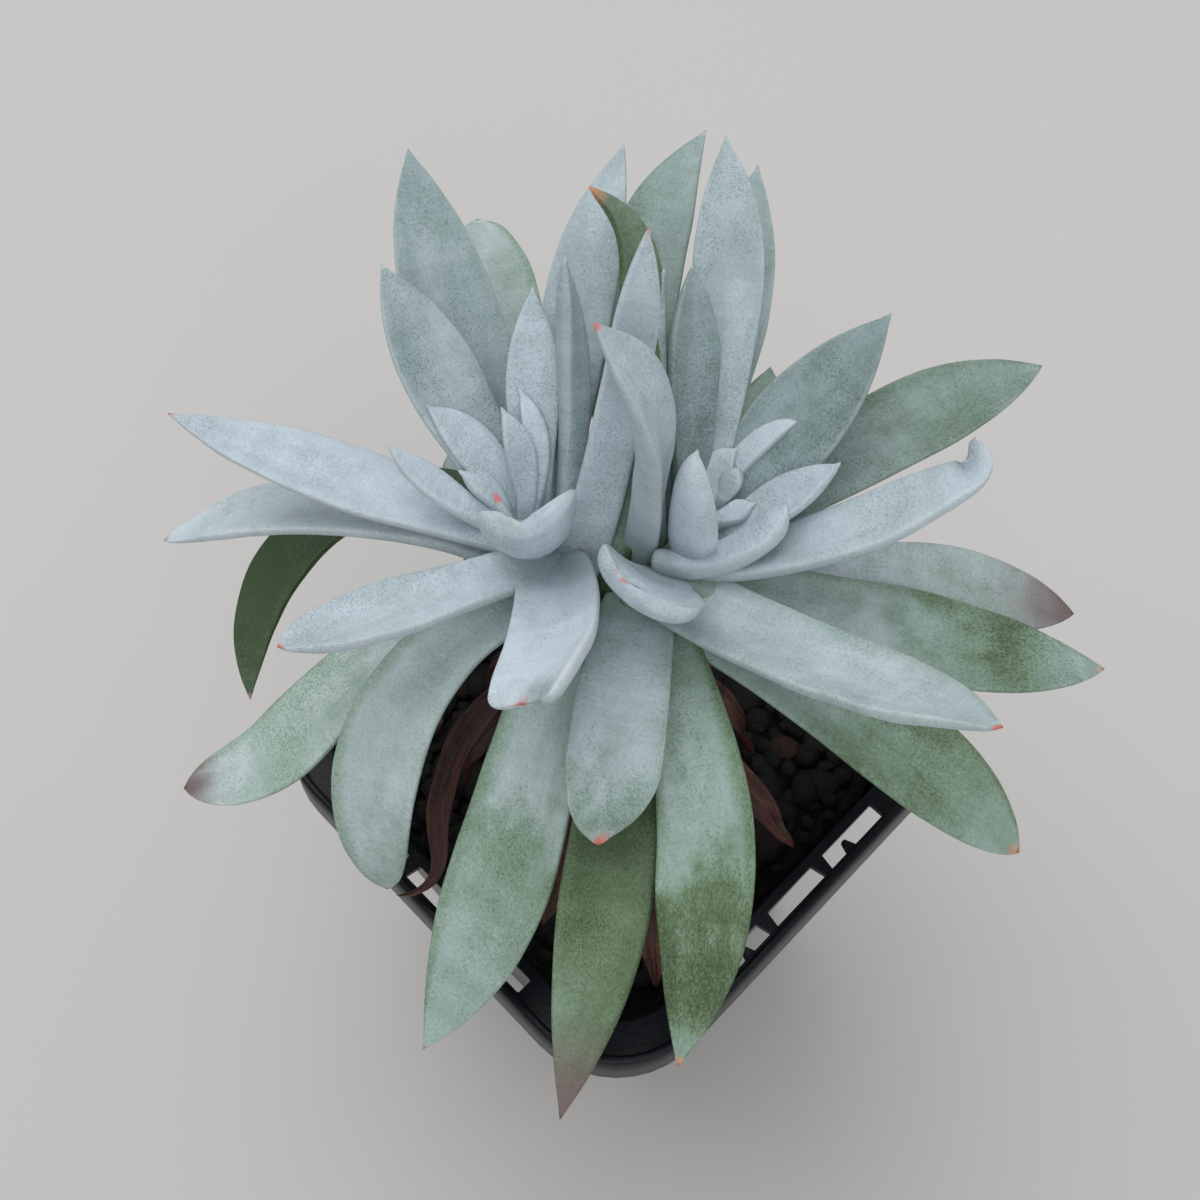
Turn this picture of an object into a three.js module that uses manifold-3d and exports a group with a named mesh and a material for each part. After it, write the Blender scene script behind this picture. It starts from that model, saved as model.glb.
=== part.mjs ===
// Potted white sprite dudleya: a two-headed powdery rosette in a square nursery pot.
// Millimetres, +Z up, origin at the middle of the pot's underside, pot sides along X and Y.
import * as THREE from "three";
import Module from "manifold-3d";

const wasm = await Module();
wasm.setup();
const { Manifold, Mesh } = wasm;

const GAP = 0.3; // clearance between neighbouring pieces
const TURN = 45; // plant headings are written with a pot corner in front; this squares the pot

// Pot: square, tapered, with an outer band joined to the wall by a slotted shelf.
const POT = {
  height: 70,
  baseHalf: 22,
  baseRound: 6,
  wallTopHalf: 30.9,
  wallTopRound: 10.5,
  wallTop: 68.8,
  wall: 1.1,
  floor: 1.4,
  bandHalf: 35,
  bandTopHalf: 34.7,
  bandRound: 13.5,
  bandBottom: 63.4,
  band: 1.0,
  shelfTop: 68.8,
  shelfThick: 1.2,
};
const SLOT = { inner: 31.1, outer: 33.2, halfLength: 16.3 };
const BRIDGE = { along: 5.3, half: 0.6 }; // crosses the slot from wall to band
const NUB = { along: 9.8, half: 0.55, reach: 1.5 }; // stands out from the band only
const DRAIN = { across: 12.5, big: 3, small: 2 };
const CORNER_STEPS = 6;

const SOIL = { top: 59, drop: 0.3, pieces: 58, seed: 7 };
const STEM = { hole: 40, bottomRadius: 3.3, topRadius: 4.2, top: 93, lean: [-1, 2], sides: 12 };
const SLEEVE = { bottom: 82.5, top: 90.5, clear: 0.55, thick: 1, sides: 12 };

const FORK = [-1, 2, 94];
const HEADS = {
  left: { tip: [-10, 6, 108], foot: [-3.6, 2, 93.3] },
  right: { tip: [10, 7, 108], foot: [3.2, 2, 93.3] },
};
const ROOT_OUT = 3.6; // a leaf clears its branch this far from the branch's axis

// One row per leaf. at: place up the branch, 0 at the fork and 1 at the crown. az: heading at
// the root and at the tip, 0 to the right, 90 to the back. el: climb at root and tip, bending
// with power k. roll lifts the leaf's left edge. wide: where along it the leaf is broadest.
// hook bends the end up from hookAt on, hookAz bends it sideways.
const LEAVES = [
  {
    id: "L01", head: "left", at: 0.85, az: [161, 158], el: [2, 6], len: 43.5, w: 9, roll: [0, 5],
    wide: 0.5,
  },
  {
    id: "L02", head: "left", at: 0.45, az: [153, 185], el: [10, -28], len: 51.5, w: 9.5, roll: [10, 17],
    wide: 0.65,
  },
  {
    id: "L03", head: "left", at: 0.3, az: [131, 258], el: [12, -60], len: 62.5, w: 8, roll: [15, -6],
    wide: 0.62,
  },
  {
    id: "L04", head: "left", at: 0.75, az: [212, 206], el: [13, 10], len: 28.5, w: 9, roll: [-5, 30],
    wide: 0.67,
  },
  {
    id: "L05", head: "left", at: 0.3, az: [200, 199], el: [-2, -58], len: 53, w: 9.5, roll: [14, 0],
    wide: 0.6, hook: 42, hookAt: 0.5,
  },
  {
    id: "L06", head: "left", at: 0.4, az: [200, 283], el: [12, -86], len: 49.5, w: 11, roll: [-5, 15],
    wide: 0.55,
  },
  {
    id: "L07", head: "left", at: 0.6, az: [268, 230], el: [-15, -42], len: 56, w: 13, roll: [30, -7],
    wide: 0.55, k: 0.5,
  },
  {
    id: "L08", head: "left", at: 0.8, az: [280, 253], el: [42, 18], len: 23.5, w: 11, roll: [14, 44],
    wide: 0.72, hook: -45, hookAt: 0.6, p: 3, q: 0.7,
  },
  {
    id: "L09", head: "left", at: 1, out: 1.5, az: [272, 272], el: [50, 92], len: 13, w: 12, roll: [0, 0],
    wide: 0.6, hook: 22, hookAt: 0.4, p: 2.6, q: 0.7, base: 0.7,
  },
  { id: "L10", head: "left", at: 0.95, az: [165, 151], el: [26, 41], len: 15.5, w: 3.8, roll: [0, 5] },
  { id: "L11", head: "left", at: 0.95, az: [121, 153], el: [35, 25], len: 15.5, w: 5.5, roll: [0, 6] },
  { id: "L12", head: "left", at: 0.85, az: [128, 122], el: [36, 33], len: 32.5, w: 9.2, roll: [0, 4] },
  { id: "L13", head: "left", at: 0.55, az: [121, 103], el: [30, 22], len: 51, w: 11, roll: [0, 0] },
  {
    id: "L14", head: "left", at: 0.25, az: [109, 101], el: [26, -13], len: 57, w: 10.5, roll: [0, 0],
    wide: 0.7,
  },
  {
    id: "L15", head: "left", at: 0.75, az: [85, 68], el: [44, 32], len: 43.5, w: 8.8, roll: [-7, -14],
    wide: 0.6,
  },
  { id: "L16", head: "left", at: 0.95, az: [89, 90], el: [49, 45], len: 24.3, w: 6.2, roll: [0, 0] },
  { id: "L17", head: "left", at: 0.95, az: [74, 130], el: [52, 35], len: 14.3, w: 3.2, roll: [0, 0] },
  { id: "L18", head: "left", at: 0.9, az: [93, 145], el: [58, 40], len: 13, w: 4, roll: [0, 3] },
  { id: "L19", head: "left", at: 0.8, az: [64, 110], el: [58, 65], len: 31, w: 4.2, roll: [45, 48] },
  {
    id: "L20", head: "left", at: 0.6, az: [49, 73], el: [68, 72], len: 40, w: 6.5, roll: [42, 33],
    wide: 0.68,
  },
  {
    id: "L21", head: "left", at: 0.75, az: [56, 83], el: [57, 47], len: 40.5, w: 7, roll: [0, 0],
    hook: -13, hookAz: 60,
  },
  { id: "L22", head: "left", at: 1, az: [140, 165], el: [60, 20], len: 7, w: 3, roll: [0, 0] },
  { id: "L23", head: "left", at: 0.15, az: [126, 120], el: [0, -35], len: 36, w: 9, roll: [0, 0] },
  {
    id: "R01", head: "right", at: 0.75, az: [252, 238], el: [52, 52], len: 20, w: 10.5, roll: [-12, -18],
    wide: 0.8, p: 3, q: 0.6,
  },
  {
    id: "R02", head: "right", at: 0.35, az: [262, 259], el: [20, -12], len: 29.5, w: 10.7, roll: [8, -26],
    wide: 0.7, hook: -46, q: 0.8,
  },
  { id: "R03", head: "right", at: 0.35, az: [291, 253], el: [0, -35], len: 51, w: 11, roll: [4, -16] },
  {
    id: "R04", head: "right", at: 0.2, az: [270, 253], el: [-2, -32], len: 54.5, w: 10.3, roll: [-10, 3],
    wide: 0.54,
  },
  {
    id: "R05", head: "right", at: 0.5, az: [310, 327], el: [23, 25], len: 42, w: 11.2, roll: [9, -35],
    wide: 0.74,
  },
  {
    id: "R06", head: "right", at: 0.3, az: [327, 332], el: [9, -42], len: 51.5, w: 11.2, roll: [7, 13],
    wide: 0.65,
  },
  {
    id: "R07", head: "right", at: 0.65, az: [333, 365], el: [0, -16], len: 48.5, w: 11.4, roll: [5, 3],
    wide: 0.54,
  },
  {
    id: "R08", head: "right", at: 0.3, az: [2, 2], el: [9, -26], len: 51.5, w: 11, roll: [5, 12],
    wide: 0.63,
  },
  { id: "R09", head: "right", at: 0.65, az: [345, 375], el: [29, 42], len: 35, w: 8.1, roll: [0, -16] },
  {
    id: "R10", head: "right", at: 0.55, az: [27, 23], el: [26, 2], len: 47, w: 10.4, roll: [9, 5],
    wide: 0.63,
  },
  {
    id: "R11", head: "right", at: 0.75, az: [38, 42], el: [38, 31], len: 31.5, w: 11, roll: [8, 5],
    wide: 0.47,
  },
  {
    id: "R12", head: "right", at: 0.8, az: [74, 94], el: [45, 24], len: 43.5, w: 8.2, roll: [0, 5],
    wide: 0.65,
  },
  { id: "R13", head: "right", at: 0.35, az: [68, 79], el: [29, 20], len: 51, w: 10.3, roll: [0, 4] },
  {
    id: "R14", head: "right", at: 0.5, az: [108, 55], el: [38, 18], len: 52, w: 10.2, roll: [-5, -2],
    wide: 0.6,
  },
  { id: "R15", head: "right", at: 0.15, az: [50, 77], el: [8, -12], len: 41, w: 8.7, roll: [0, -6] },
  {
    id: "R16", head: "right", at: 0.85, az: [91, 93], el: [59, 53], len: 27.7, w: 6.5, roll: [35, 24],
    wide: 0.64,
  },
  {
    id: "R17", head: "right", at: 0.7, az: [165, 160], el: [94, 58], len: 35.7, w: 9, roll: [15, -16],
    wide: 0.6, k: 1.8,
  },
  {
    id: "R18", head: "right", at: 0.6, az: [108, 71], el: [61, 54], len: 31.3, w: 4.6, roll: [0, -10],
    wide: 0.5,
  },
  {
    id: "R20", head: "right", at: 1, az: [232, 217], el: [78, 89], len: 16.5, w: 5.8, roll: [0, -12],
    q: 0.7,
  },
  {
    id: "R21", head: "right", at: 0.5, az: [358, 343], el: [27, 89], len: 18.2, w: 5.6, roll: [0, -7],
    wide: 0.6,
  },
  {
    id: "R22", head: "right", at: 0.85, az: [12, 18], el: [34, 38], len: 15.5, w: 6, roll: [0, -9],
    wide: 0.5,
  },
  { id: "R23", head: "right", at: 0.9, az: [61, 10], el: [46, 20], len: 14, w: 4, roll: [0, 0] },
  { id: "R24", head: "right", at: 0.95, az: [79, 25], el: [53, 33], len: 7, w: 4, roll: [0, 0] },
  { id: "R25", head: "right", at: 1, az: [55, 49], el: [61, 58], len: 4.5, w: 2.6, roll: [0, 0] },
  { id: "R26", head: "right", at: 0.9, az: [23, 15], el: [39, 41], len: 5, w: 2.8, roll: [0, 0] },
  { id: "R27", head: "right", at: 0.15, az: [48, 52], el: [0, -35], len: 36, w: 9, roll: [0, 0] },
];

// Withered leaves hang from a sleeve of old leaf bases round the stem, one over the rim.
const DRY_LEAVES = [
  {
    from: 86, az: [188, 309], el: [-24, -16], len: 40, w: 6.5, roll: [20, 30],
    wide: 0.3, hookAz: -138, hookAt: 0.72,
  },
  { from: 86, az: [256, 250], el: [-22, -48], len: 30, w: 5, roll: [-20, -45] },
  { from: 84, az: [282, 275], el: [-20, -44], len: 36, w: 5, roll: [30, 10] },
  { from: 86, az: [318, 332], el: [-25, -50], len: 31, w: 5, roll: [20, -20] },
  { from: 85, az: [20, 8], el: [-20, -82], len: 27, w: 6, roll: [10, 40] },
  { from: 86, az: [75, 90], el: [-20, -84], len: 28, w: 6.5, roll: [0, -30] },
  { from: 84, az: [125, 140], el: [-25, -80], len: 26, w: 6, roll: [-10, 25] },
  { from: 85, az: [235, 226], el: [-30, -86], len: 23, w: 6, roll: [15, -35] },
  { from: 85, az: [298, 306], el: [-28, -86], len: 24, w: 5.5, roll: [-15, 30] },
  { from: 87, az: [345, 354], el: [-30, -84], len: 25, w: 6, roll: [5, -30] },
  { from: 84, az: [50, 42], el: [-32, -85], len: 22, w: 5.5, roll: [-10, 20] },
  { from: 84, az: [160, 172], el: [-30, -85], len: 22, w: 5.5, roll: [10, -25] },
  { from: 87, az: [206, 198], el: [-24, -84], len: 27, w: 6, roll: [-5, 30] },
];
const DRY = { thick: 1.1, cup: 0.3, root: 1.6, fineFrom: 38 };

const rad = (degrees) => (degrees * Math.PI) / 180;
const ease = (t) => t * t * (3 - 2 * t);
const mix = (a, b, t) => a + (b - a) * t;
const mixPoint = (a, b, t) => a.map((value, i) => mix(value, b[i], t));
const add = (a, b, scale = 1) => a.map((value, i) => value + b[i] * scale);
const cross = (a, b) => [
  a[1] * b[2] - a[2] * b[1],
  a[2] * b[0] - a[0] * b[2],
  a[0] * b[1] - a[1] * b[0],
];

// A heading in degrees and a climb in degrees as a unit vector, and a plant point squared up.
function heading(azimuth, climb) {
  const flat = Math.cos(rad(climb));
  const turned = rad(azimuth + TURN);
  return [flat * Math.cos(turned), flat * Math.sin(turned), Math.sin(rad(climb))];
}

function squared([x, y, z]) {
  const c = Math.cos(rad(TURN));
  const s = Math.sin(rad(TURN));
  return [x * c - y * s, x * s + y * c, z];
}

// Small repeatable random numbers.
function dice(seed) {
  let state = seed;
  return () => {
    state = (state * 16807) % 2147483647;
    return state / 2147483647;
  };
}

// A closed solid through a stack of rings that all have the same number of points, the points
// anticlockwise as seen from the last ring. The last ring may be a single point.
function loft(rings) {
  const points = [];
  const faces = [];
  const sides = rings[0].length;
  const starts = rings.map((ring) => {
    points.push(...ring);
    return points.length - ring.length;
  });
  for (let k = 0; k + 1 < rings.length; k += 1) {
    for (let i = 0; i < sides; i += 1) {
      const j = (i + 1) % sides;
      const a = starts[k] + i;
      const b = starts[k] + j;
      if (rings[k + 1].length === 1) {
        faces.push(a, b, starts[k + 1]);
      } else {
        faces.push(a, b, starts[k + 1] + j);
        faces.push(a, starts[k + 1] + j, starts[k + 1] + i);
      }
    }
  }
  const cap = (start, flip) => {
    const middle = points.length;
    const sum = points.slice(start, start + sides).reduce((p, q) => add(p, q), [0, 0, 0]);
    points.push(sum.map((value) => value / sides));
    for (let i = 0; i < sides; i += 1) {
      const j = (i + 1) % sides;
      faces.push(middle, ...(flip ? [start + j, start + i] : [start + i, start + j]));
    }
  };
  cap(starts[0], true);
  if (rings[rings.length - 1].length > 1) cap(starts[rings.length - 1], false);
  return new Manifold(new Mesh({
    numProp: 3,
    vertProperties: new Float32Array(points.flat()),
    triVerts: new Uint32Array(faces),
  }));
}

const union = (solids) => Manifold.union(solids);

// The one sound body of a fused node: loose scraps and sealed hollows are left out.
function largest(solid) {
  const parts = solid.decompose();
  parts.sort((a, b) => b.volume() - a.volume());
  return parts[0];
}

function squareRing(half, round, z) {
  const ring = [];
  for (let corner = 0; corner < 4; corner += 1) {
    const turn = corner * 90;
    const cx = (half - round) * Math.SQRT2 * Math.cos(rad(turn + 45));
    const cy = (half - round) * Math.SQRT2 * Math.sin(rad(turn + 45));
    for (let i = 0; i <= CORNER_STEPS; i += 1) {
      const angle = rad(turn + (90 * i) / CORNER_STEPS);
      ring.push([cx + round * Math.cos(angle), cy + round * Math.sin(angle), z]);
    }
  }
  return ring;
}

function circleRing([x, y, z], radius, sides) {
  return Array.from({ length: sides }, (_, i) => {
    const angle = (2 * Math.PI * i) / sides;
    return [x + radius * Math.cos(angle), y + radius * Math.sin(angle), z];
  });
}

function prism(outline, bottom, top) {
  return loft([bottom, top].map((z) => outline.map(([x, y]) => [x, y, z])));
}

const box = (x0, x1, y0, y1, z0, z1) => prism([[x0, y0], [x1, y0], [x1, y1], [x0, y1]], z0, z1);

const quarters = (solid) => [0, 90, 180, 270].map((angle) => solid.rotate([0, 0, angle]));

const wallHalf = (z) => mix(POT.baseHalf, POT.wallTopHalf, z / POT.wallTop);
const wallRound = (z) => mix(POT.baseRound, POT.wallTopRound, z / POT.wallTop);

// A square block that keeps the same distance inside the pot's outer wall at every height.
function insideWall(inset, bottom, top) {
  return loft([bottom, top].map((z) => squareRing(wallHalf(z) - inset, wallRound(z) - inset, z)));
}

function makePot() {
  const hollow = insideWall(POT.wall, POT.floor, POT.wallTop + 1);
  const body = insideWall(0, 0, POT.wallTop).subtract(hollow);
  const shelfBottom = POT.shelfTop - POT.shelfThick;
  const rise = (z) => (z - POT.bandBottom) / (POT.height - POT.bandBottom);
  const outer = (z) => mix(POT.bandHalf, POT.bandTopHalf, rise(z));
  const bandRing = (inset, z) => squareRing(outer(z) - inset, POT.bandRound - inset, z);
  const band = loft([bandRing(0.25, POT.bandBottom), bandRing(0, POT.bandBottom + 0.5),
    bandRing(0, POT.height - 0.4), bandRing(0.3, POT.height)]);
  const bandHollow = loft([bandRing(POT.band, POT.bandBottom - 1), bandRing(POT.band, POT.height + 1)]);
  const shelf = loft([bandRing(0.5, shelfBottom), bandRing(0.5, POT.shelfTop)]);
  const shelfHole = insideWall(0.5, shelfBottom - 1, POT.shelfTop + 1);
  const slots = quarters(box(-SLOT.halfLength, SLOT.halfLength, SLOT.inner, SLOT.outer, 60, 75));
  const nubs = [];
  for (const side of [-1, 1]) {
    const bridge = side * BRIDGE.along;
    nubs.push(prism([
      [bridge - BRIDGE.half - 0.5, SLOT.inner - 0.2], [bridge + BRIDGE.half + 0.5, SLOT.inner - 0.2],
      [bridge + BRIDGE.half, SLOT.outer + 0.2], [bridge - BRIDGE.half, SLOT.outer + 0.2],
    ], shelfBottom, POT.shelfTop));
    const nub = side * NUB.along;
    nubs.push(prism([
      [nub - NUB.half * 0.4, SLOT.outer - NUB.reach], [nub + NUB.half * 0.4, SLOT.outer - NUB.reach],
      [nub + NUB.half * 1.6, SLOT.outer + 0.2], [nub - NUB.half * 1.6, SLOT.outer + 0.2],
    ], shelfBottom, POT.shelfTop));
  }
  const rim = union([
    band.subtract(bandHollow),
    shelf.subtract(shelfHole).subtract(union(slots)),
    ...quarters(union(nubs)),
  ]);
  const drains = [];
  for (const [x, y] of [[1, 1], [-1, 1], [-1, -1], [1, -1]]) {
    const at = [x * DRAIN.across, y * DRAIN.across];
    drains.push(loft([circleRing([...at, -1], DRAIN.big, 16), circleRing([...at, 3], DRAIN.big, 16)]));
  }
  for (const [x, y] of [[1, 0], [0, 1], [-1, 0], [0, -1]]) {
    const at = [x * DRAIN.across, y * DRAIN.across];
    drains.push(loft([circleRing([...at, -1], DRAIN.small, 12), circleRing([...at, 3], DRAIN.small, 12)]));
  }
  return union([body, rim]).subtract(union(drains));
}

const stemAxis = (z) => {
  const t = Math.max(0, (z - SOIL.top) / (STEM.top - SOIL.top));
  return squared([STEM.lean[0] * t, STEM.lean[1] * t, z]);
};
const stemRadius = (z) => mix(STEM.bottomRadius, STEM.topRadius, (z - STEM.hole) / (STEM.top - STEM.hole));

// A stem with the low rings that fallen leaves leave behind.
function makeStem() {
  const rings = [];
  const bottom = STEM.hole + GAP;
  const steps = 20;
  for (let i = 0; i <= steps; i += 1) {
    const z = mix(bottom, STEM.top, i / steps);
    const scar = i % 2 === 1 && i < steps ? 0.22 : 0;
    rings.push(circleRing(stemAxis(z), stemRadius(z) + scar, STEM.sides));
  }
  return loft(rings);
}

// A rough lump: a five-sided drum squeezed and turned.
function pebble(centre, size, flat, turn, random) {
  const rings = [-1, -0.55, 0.35, 0.9].map((h, k) => {
    const reach = [0.5, 0.95, 1, 0.45][k] * size;
    return Array.from({ length: 5 }, (_, i) => {
      const angle = turn + (2 * Math.PI * i) / 5;
      const r = reach * (0.82 + 0.36 * random());
      return add(centre, [r * Math.cos(angle), r * Math.sin(angle) * 0.75, h * size * flat]);
    });
  });
  return loft(rings);
}

function makeSoil() {
  const random = dice(SOIL.seed);
  const inset = POT.wall + SOIL.drop;
  const bed = insideWall(inset, POT.floor + SOIL.drop, SOIL.top);
  const lumps = [];
  const golden = Math.PI * (3 - Math.sqrt(5));
  for (let i = 0; i < SOIL.pieces; i += 1) {
    const size = 1.5 + 2 * random() * random();
    const reach = Math.sqrt((i + 0.5) / SOIL.pieces);
    const limit = wallHalf(SOIL.top) - inset - size * 1.3;
    const direction = [Math.cos(i * golden), Math.sin(i * golden)];
    const stretch = 1 / Math.max(Math.abs(direction[0]), Math.abs(direction[1]));
    const spread = Math.min(stretch, 1.22) * reach * limit;
    const centre = [direction[0] * spread, direction[1] * spread, SOIL.top + size * 0.12];
    lumps.push(pebble(centre, size, 0.62, i * 2.1, random));
  }
  const around = (z) => circleRing(stemAxis(z), stemRadius(z) + 0.22 + GAP, STEM.sides);
  const hole = loft([STEM.hole, SOIL.top, SOIL.top + 8].map(around));
  const fence = insideWall(inset, POT.floor, SOIL.top + 8);
  return largest(union([bed, ...lumps]).intersect(fence).subtract(hole));
}

// The middle line of a leaf with its sideways and upward directions, ready at any point.
function midrib(row, origin) {
  const steps = 40;
  const hookAt = row.hookAt ?? 0.72;
  const aim = (t) => {
    const bend = t > hookAt ? ease((t - hookAt) / (1 - hookAt)) : 0;
    return [
      mix(...row.az, t) + (row.hookAz ?? 0) * bend,
      mix(...row.el, t ** (row.k ?? 1)) + (row.hook ?? 0) * bend,
    ];
  };
  const points = [add(origin, heading(row.az[0], 0), row.out ?? ROOT_OUT)];
  for (let i = 0; i < steps; i += 1) {
    points.push(add(points[i], heading(...aim((i + 0.5) / steps)), row.len / steps));
  }
  return (t) => {
    const [azimuth, climb] = aim(t);
    const along = heading(azimuth, climb);
    const flatSide = heading(azimuth + 90, 0);
    const flatUp = cross(along, flatSide);
    const roll = rad(mix(...row.roll, t));
    const k = Math.min(steps - 1, Math.floor(t * steps));
    return {
      along,
      centre: mixPoint(points[k], points[k + 1], t * steps - k),
      side: add(flatSide.map((v) => v * Math.cos(roll)), flatUp, Math.sin(roll)),
      up: add(flatUp.map((v) => v * Math.cos(roll)), flatSide, -Math.sin(roll)),
    };
  };
}

function halfWidth(row, t) {
  const wide = row.wide ?? 0.58;
  if (t < wide) return (row.w / 2) * mix(row.base ?? 0.62, 1, ease(t / wide));
  const past = (t - wide) / (1 - wide);
  return (row.w / 2) * Math.max(0, 1 - past ** (row.p ?? 2)) ** (row.q ?? 0.95);
}

const YOUNG = 20; // leaves shorter than this are thinner
const LONG_STATIONS = [0, 0.12, 0.25, 0.38, 0.5, 0.61, 0.71, 0.8, 0.88, 0.95];
const SHORT_STATIONS = [0, 0.25, 0.5, 0.7, 0.86, 0.95];

// A cupped fleshy blade. grow swells it on every side, for cutting clearance.
function leaf(row, origin, { thick = 2.6, cup = 0.12, grow = 0, sink = 2.4, fineFrom = 20 } = {}) {
  const at = midrib(row, origin);
  const slim = row.len < YOUNG ? 0.75 : 1;
  const fine = row.len >= fineFrom;
  const sides = fine ? 8 : 6;
  const section = (t, back, squeeze) => {
    const { centre, along, side, up } = at(t);
    const half = halfWidth(row, t) * squeeze;
    const depth = thick * slim * (1 - 0.35 * t) * Math.min(1, Math.sqrt((1 - t) * 5));
    return Array.from({ length: sides }, (_, i) => {
      const c = Math.cos((2 * Math.PI * i) / sides);
      const s = Math.sin((2 * Math.PI * i) / sides);
      const across = (half + grow) * c;
      const height = ((s > 0 ? 0.3 : 0.7) * depth + grow) * s + 2 * cup * half * c * c;
      return add(add(add(centre, along, -back), side, across), up, height);
    });
  };
  const stations = fine ? LONG_STATIONS : SHORT_STATIONS;
  const rings = [section(0, sink, 0.85), ...stations.map((t) => section(t, 0, 1))];
  const tip = at(1);
  return loft([...rings, [add(tip.centre, tip.along, grow)]]);
}

const branchPoint = (row) => squared(mixPoint(FORK, HEADS[row.head].tip, row.at));

function rosette(name, grow) {
  const { foot, tip } = HEADS[name];
  const levels = [[0, 2.9], [0.5, 2.8], [1, 2.5], [1.12, 1.6]];
  const core = loft([
    ...levels.map(([t, radius]) => circleRing(squared(mixPoint(foot, tip, t)), radius + grow, 10)),
    [squared(mixPoint(foot, tip, 1.18))],
  ]);
  const rows = LEAVES.filter((row) => row.head === name);
  return union([core, ...rows.map((row) => leaf(row, branchPoint(row), { grow }))]);
}

function makeDryLeaves() {
  const ring = (z, out) => circleRing(stemAxis(z), stemRadius(z) + SLEEVE.clear + out, SLEEVE.sides);
  const outer = loft([
    ring(SLEEVE.bottom, SLEEVE.thick),
    ring((SLEEVE.bottom + SLEEVE.top) / 2, SLEEVE.thick + 0.3),
    ring(SLEEVE.top, SLEEVE.thick),
  ]);
  const bore = loft([ring(SLEEVE.bottom - 3, 0), ring(SLEEVE.top + 3, 0)]);
  const blades = DRY_LEAVES.map((row) => {
    const out = stemRadius(row.from) + DRY.root;
    return leaf({ ...row, out }, stemAxis(row.from), { ...DRY, sink: 0.6 });
  });
  return largest(union([outer, ...blades]).subtract(bore));
}

function mesh(name, solid, colour, roughness) {
  const { vertProperties, triVerts } = solid.getMesh();
  const geometry = new THREE.BufferGeometry();
  geometry.setAttribute("position", new THREE.BufferAttribute(vertProperties, 3));
  geometry.setIndex(new THREE.BufferAttribute(triVerts, 1));
  geometry.computeVertexNormals();
  const node = new THREE.Mesh(geometry, new THREE.MeshStandardMaterial({ color: colour, roughness }));
  node.name = name;
  return node;
}

const leftHead = largest(rosette("left", 0));
const rightHead = largest(rosette("right", 0).subtract(rosette("left", GAP)));

const part = new THREE.Group();
part.name = "potted_white_sprite_dudleya";
part.add(
  mesh("pot", makePot(), 0x17191d, 0.35),
  mesh("soil", makeSoil(), 0x1d1613, 0.95),
  mesh("stem", makeStem(), 0x6a4a38, 0.85),
  mesh("dry_leaves", makeDryLeaves(), 0x4a2118, 0.8),
  mesh("left_rosette", leftHead, 0xa9b9bd, 0.8),
  mesh("right_rosette", rightHead, 0xa9b9bd, 0.8),
);

export default part;
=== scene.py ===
# A powdery two-headed succulent rosette in a square slotted nursery pot.
# Leaf headings are written as seen in the picture: 0 to the right, 90 to the back, 270 to the front.
import bpy
import bmesh
import math
import random
from mathutils import Matrix, Vector, noise


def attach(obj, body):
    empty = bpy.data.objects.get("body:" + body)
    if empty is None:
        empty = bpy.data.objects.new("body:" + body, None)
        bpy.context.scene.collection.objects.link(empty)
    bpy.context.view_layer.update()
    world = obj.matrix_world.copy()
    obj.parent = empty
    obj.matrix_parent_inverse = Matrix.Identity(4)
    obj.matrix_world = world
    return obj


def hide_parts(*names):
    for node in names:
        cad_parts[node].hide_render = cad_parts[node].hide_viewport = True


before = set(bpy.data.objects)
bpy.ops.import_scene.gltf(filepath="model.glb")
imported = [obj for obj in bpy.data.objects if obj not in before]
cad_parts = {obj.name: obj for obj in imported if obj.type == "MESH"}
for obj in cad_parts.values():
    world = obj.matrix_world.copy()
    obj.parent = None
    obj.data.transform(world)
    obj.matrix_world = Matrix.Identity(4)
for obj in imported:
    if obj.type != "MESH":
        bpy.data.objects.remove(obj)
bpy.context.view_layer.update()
mm = 0.001
squareUp = Matrix.Rotation(math.radians(45), 4, "Z")    # the picture looks at a corner of the pot


def mix(a, b, t):
    return a + (b - a) * t


def ease(t):
    t = min(1, max(0, t))
    return t * t * (3 - 2 * t)


def meshOf(name, bm):
    mesh = bpy.data.meshes.new(name)
    bm.to_mesh(mesh)
    bm.free()
    return mesh


def addObject(name, data):
    made = bpy.data.objects.new(name, data)
    bpy.context.scene.collection.objects.link(made)
    return made


def newPiece(name, bm, material, replaced):
    piece = addObject(name, meshOf(name, bm))
    piece.data.materials.append(material)
    piece.data.shade_smooth()
    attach(piece, "root")
    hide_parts(*replaced)
    return piece


def turnToPot(bm):    # from the picture's directions to the pot's
    bmesh.ops.transform(bm, matrix=squareUp, verts=bm.verts[:])


def soften(piece):
    smooth = piece.modifiers.new("smooth", "SUBSURF")
    smooth.levels = smooth.render_levels = 1


def wobble(place, size, seed=0.0):    # smooth noise, about -1 to 1, at a place in millimetres
    return noise.noise(Vector(place) / size + Vector((seed, seed * 0.7, -seed)))


# Node helpers
def addNode(tree, kind, inputs=None, **settings):
    made = tree.nodes.new("ShaderNode" + kind)
    for name, value in settings.items():
        setattr(made, name, value)
    for name, value in (inputs or {}).items():
        feed(tree, made.inputs[name], value)
    return made


def feed(tree, socket, value):    # a socket takes another node's output or a plain value
    if isinstance(value, bpy.types.NodeSocket):
        tree.links.new(value, socket)
    else:
        socket.default_value = value


def maths(tree, operation, a, b=0.0, clamp=False):
    made = addNode(tree, "Math", operation=operation, use_clamp=clamp)
    feed(tree, made.inputs[0], a)
    feed(tree, made.inputs[1], b)
    return made.outputs[0]


def spread(tree, value, low, high, start=0.0, end=1.0):    # smooth step from low to high
    made = addNode(tree, "MapRange", {"Value": value, "From Min": low, "From Max": high,
                                      "To Min": start, "To Max": end}, interpolation_type="SMOOTHSTEP")
    return made.outputs["Result"]


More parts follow.
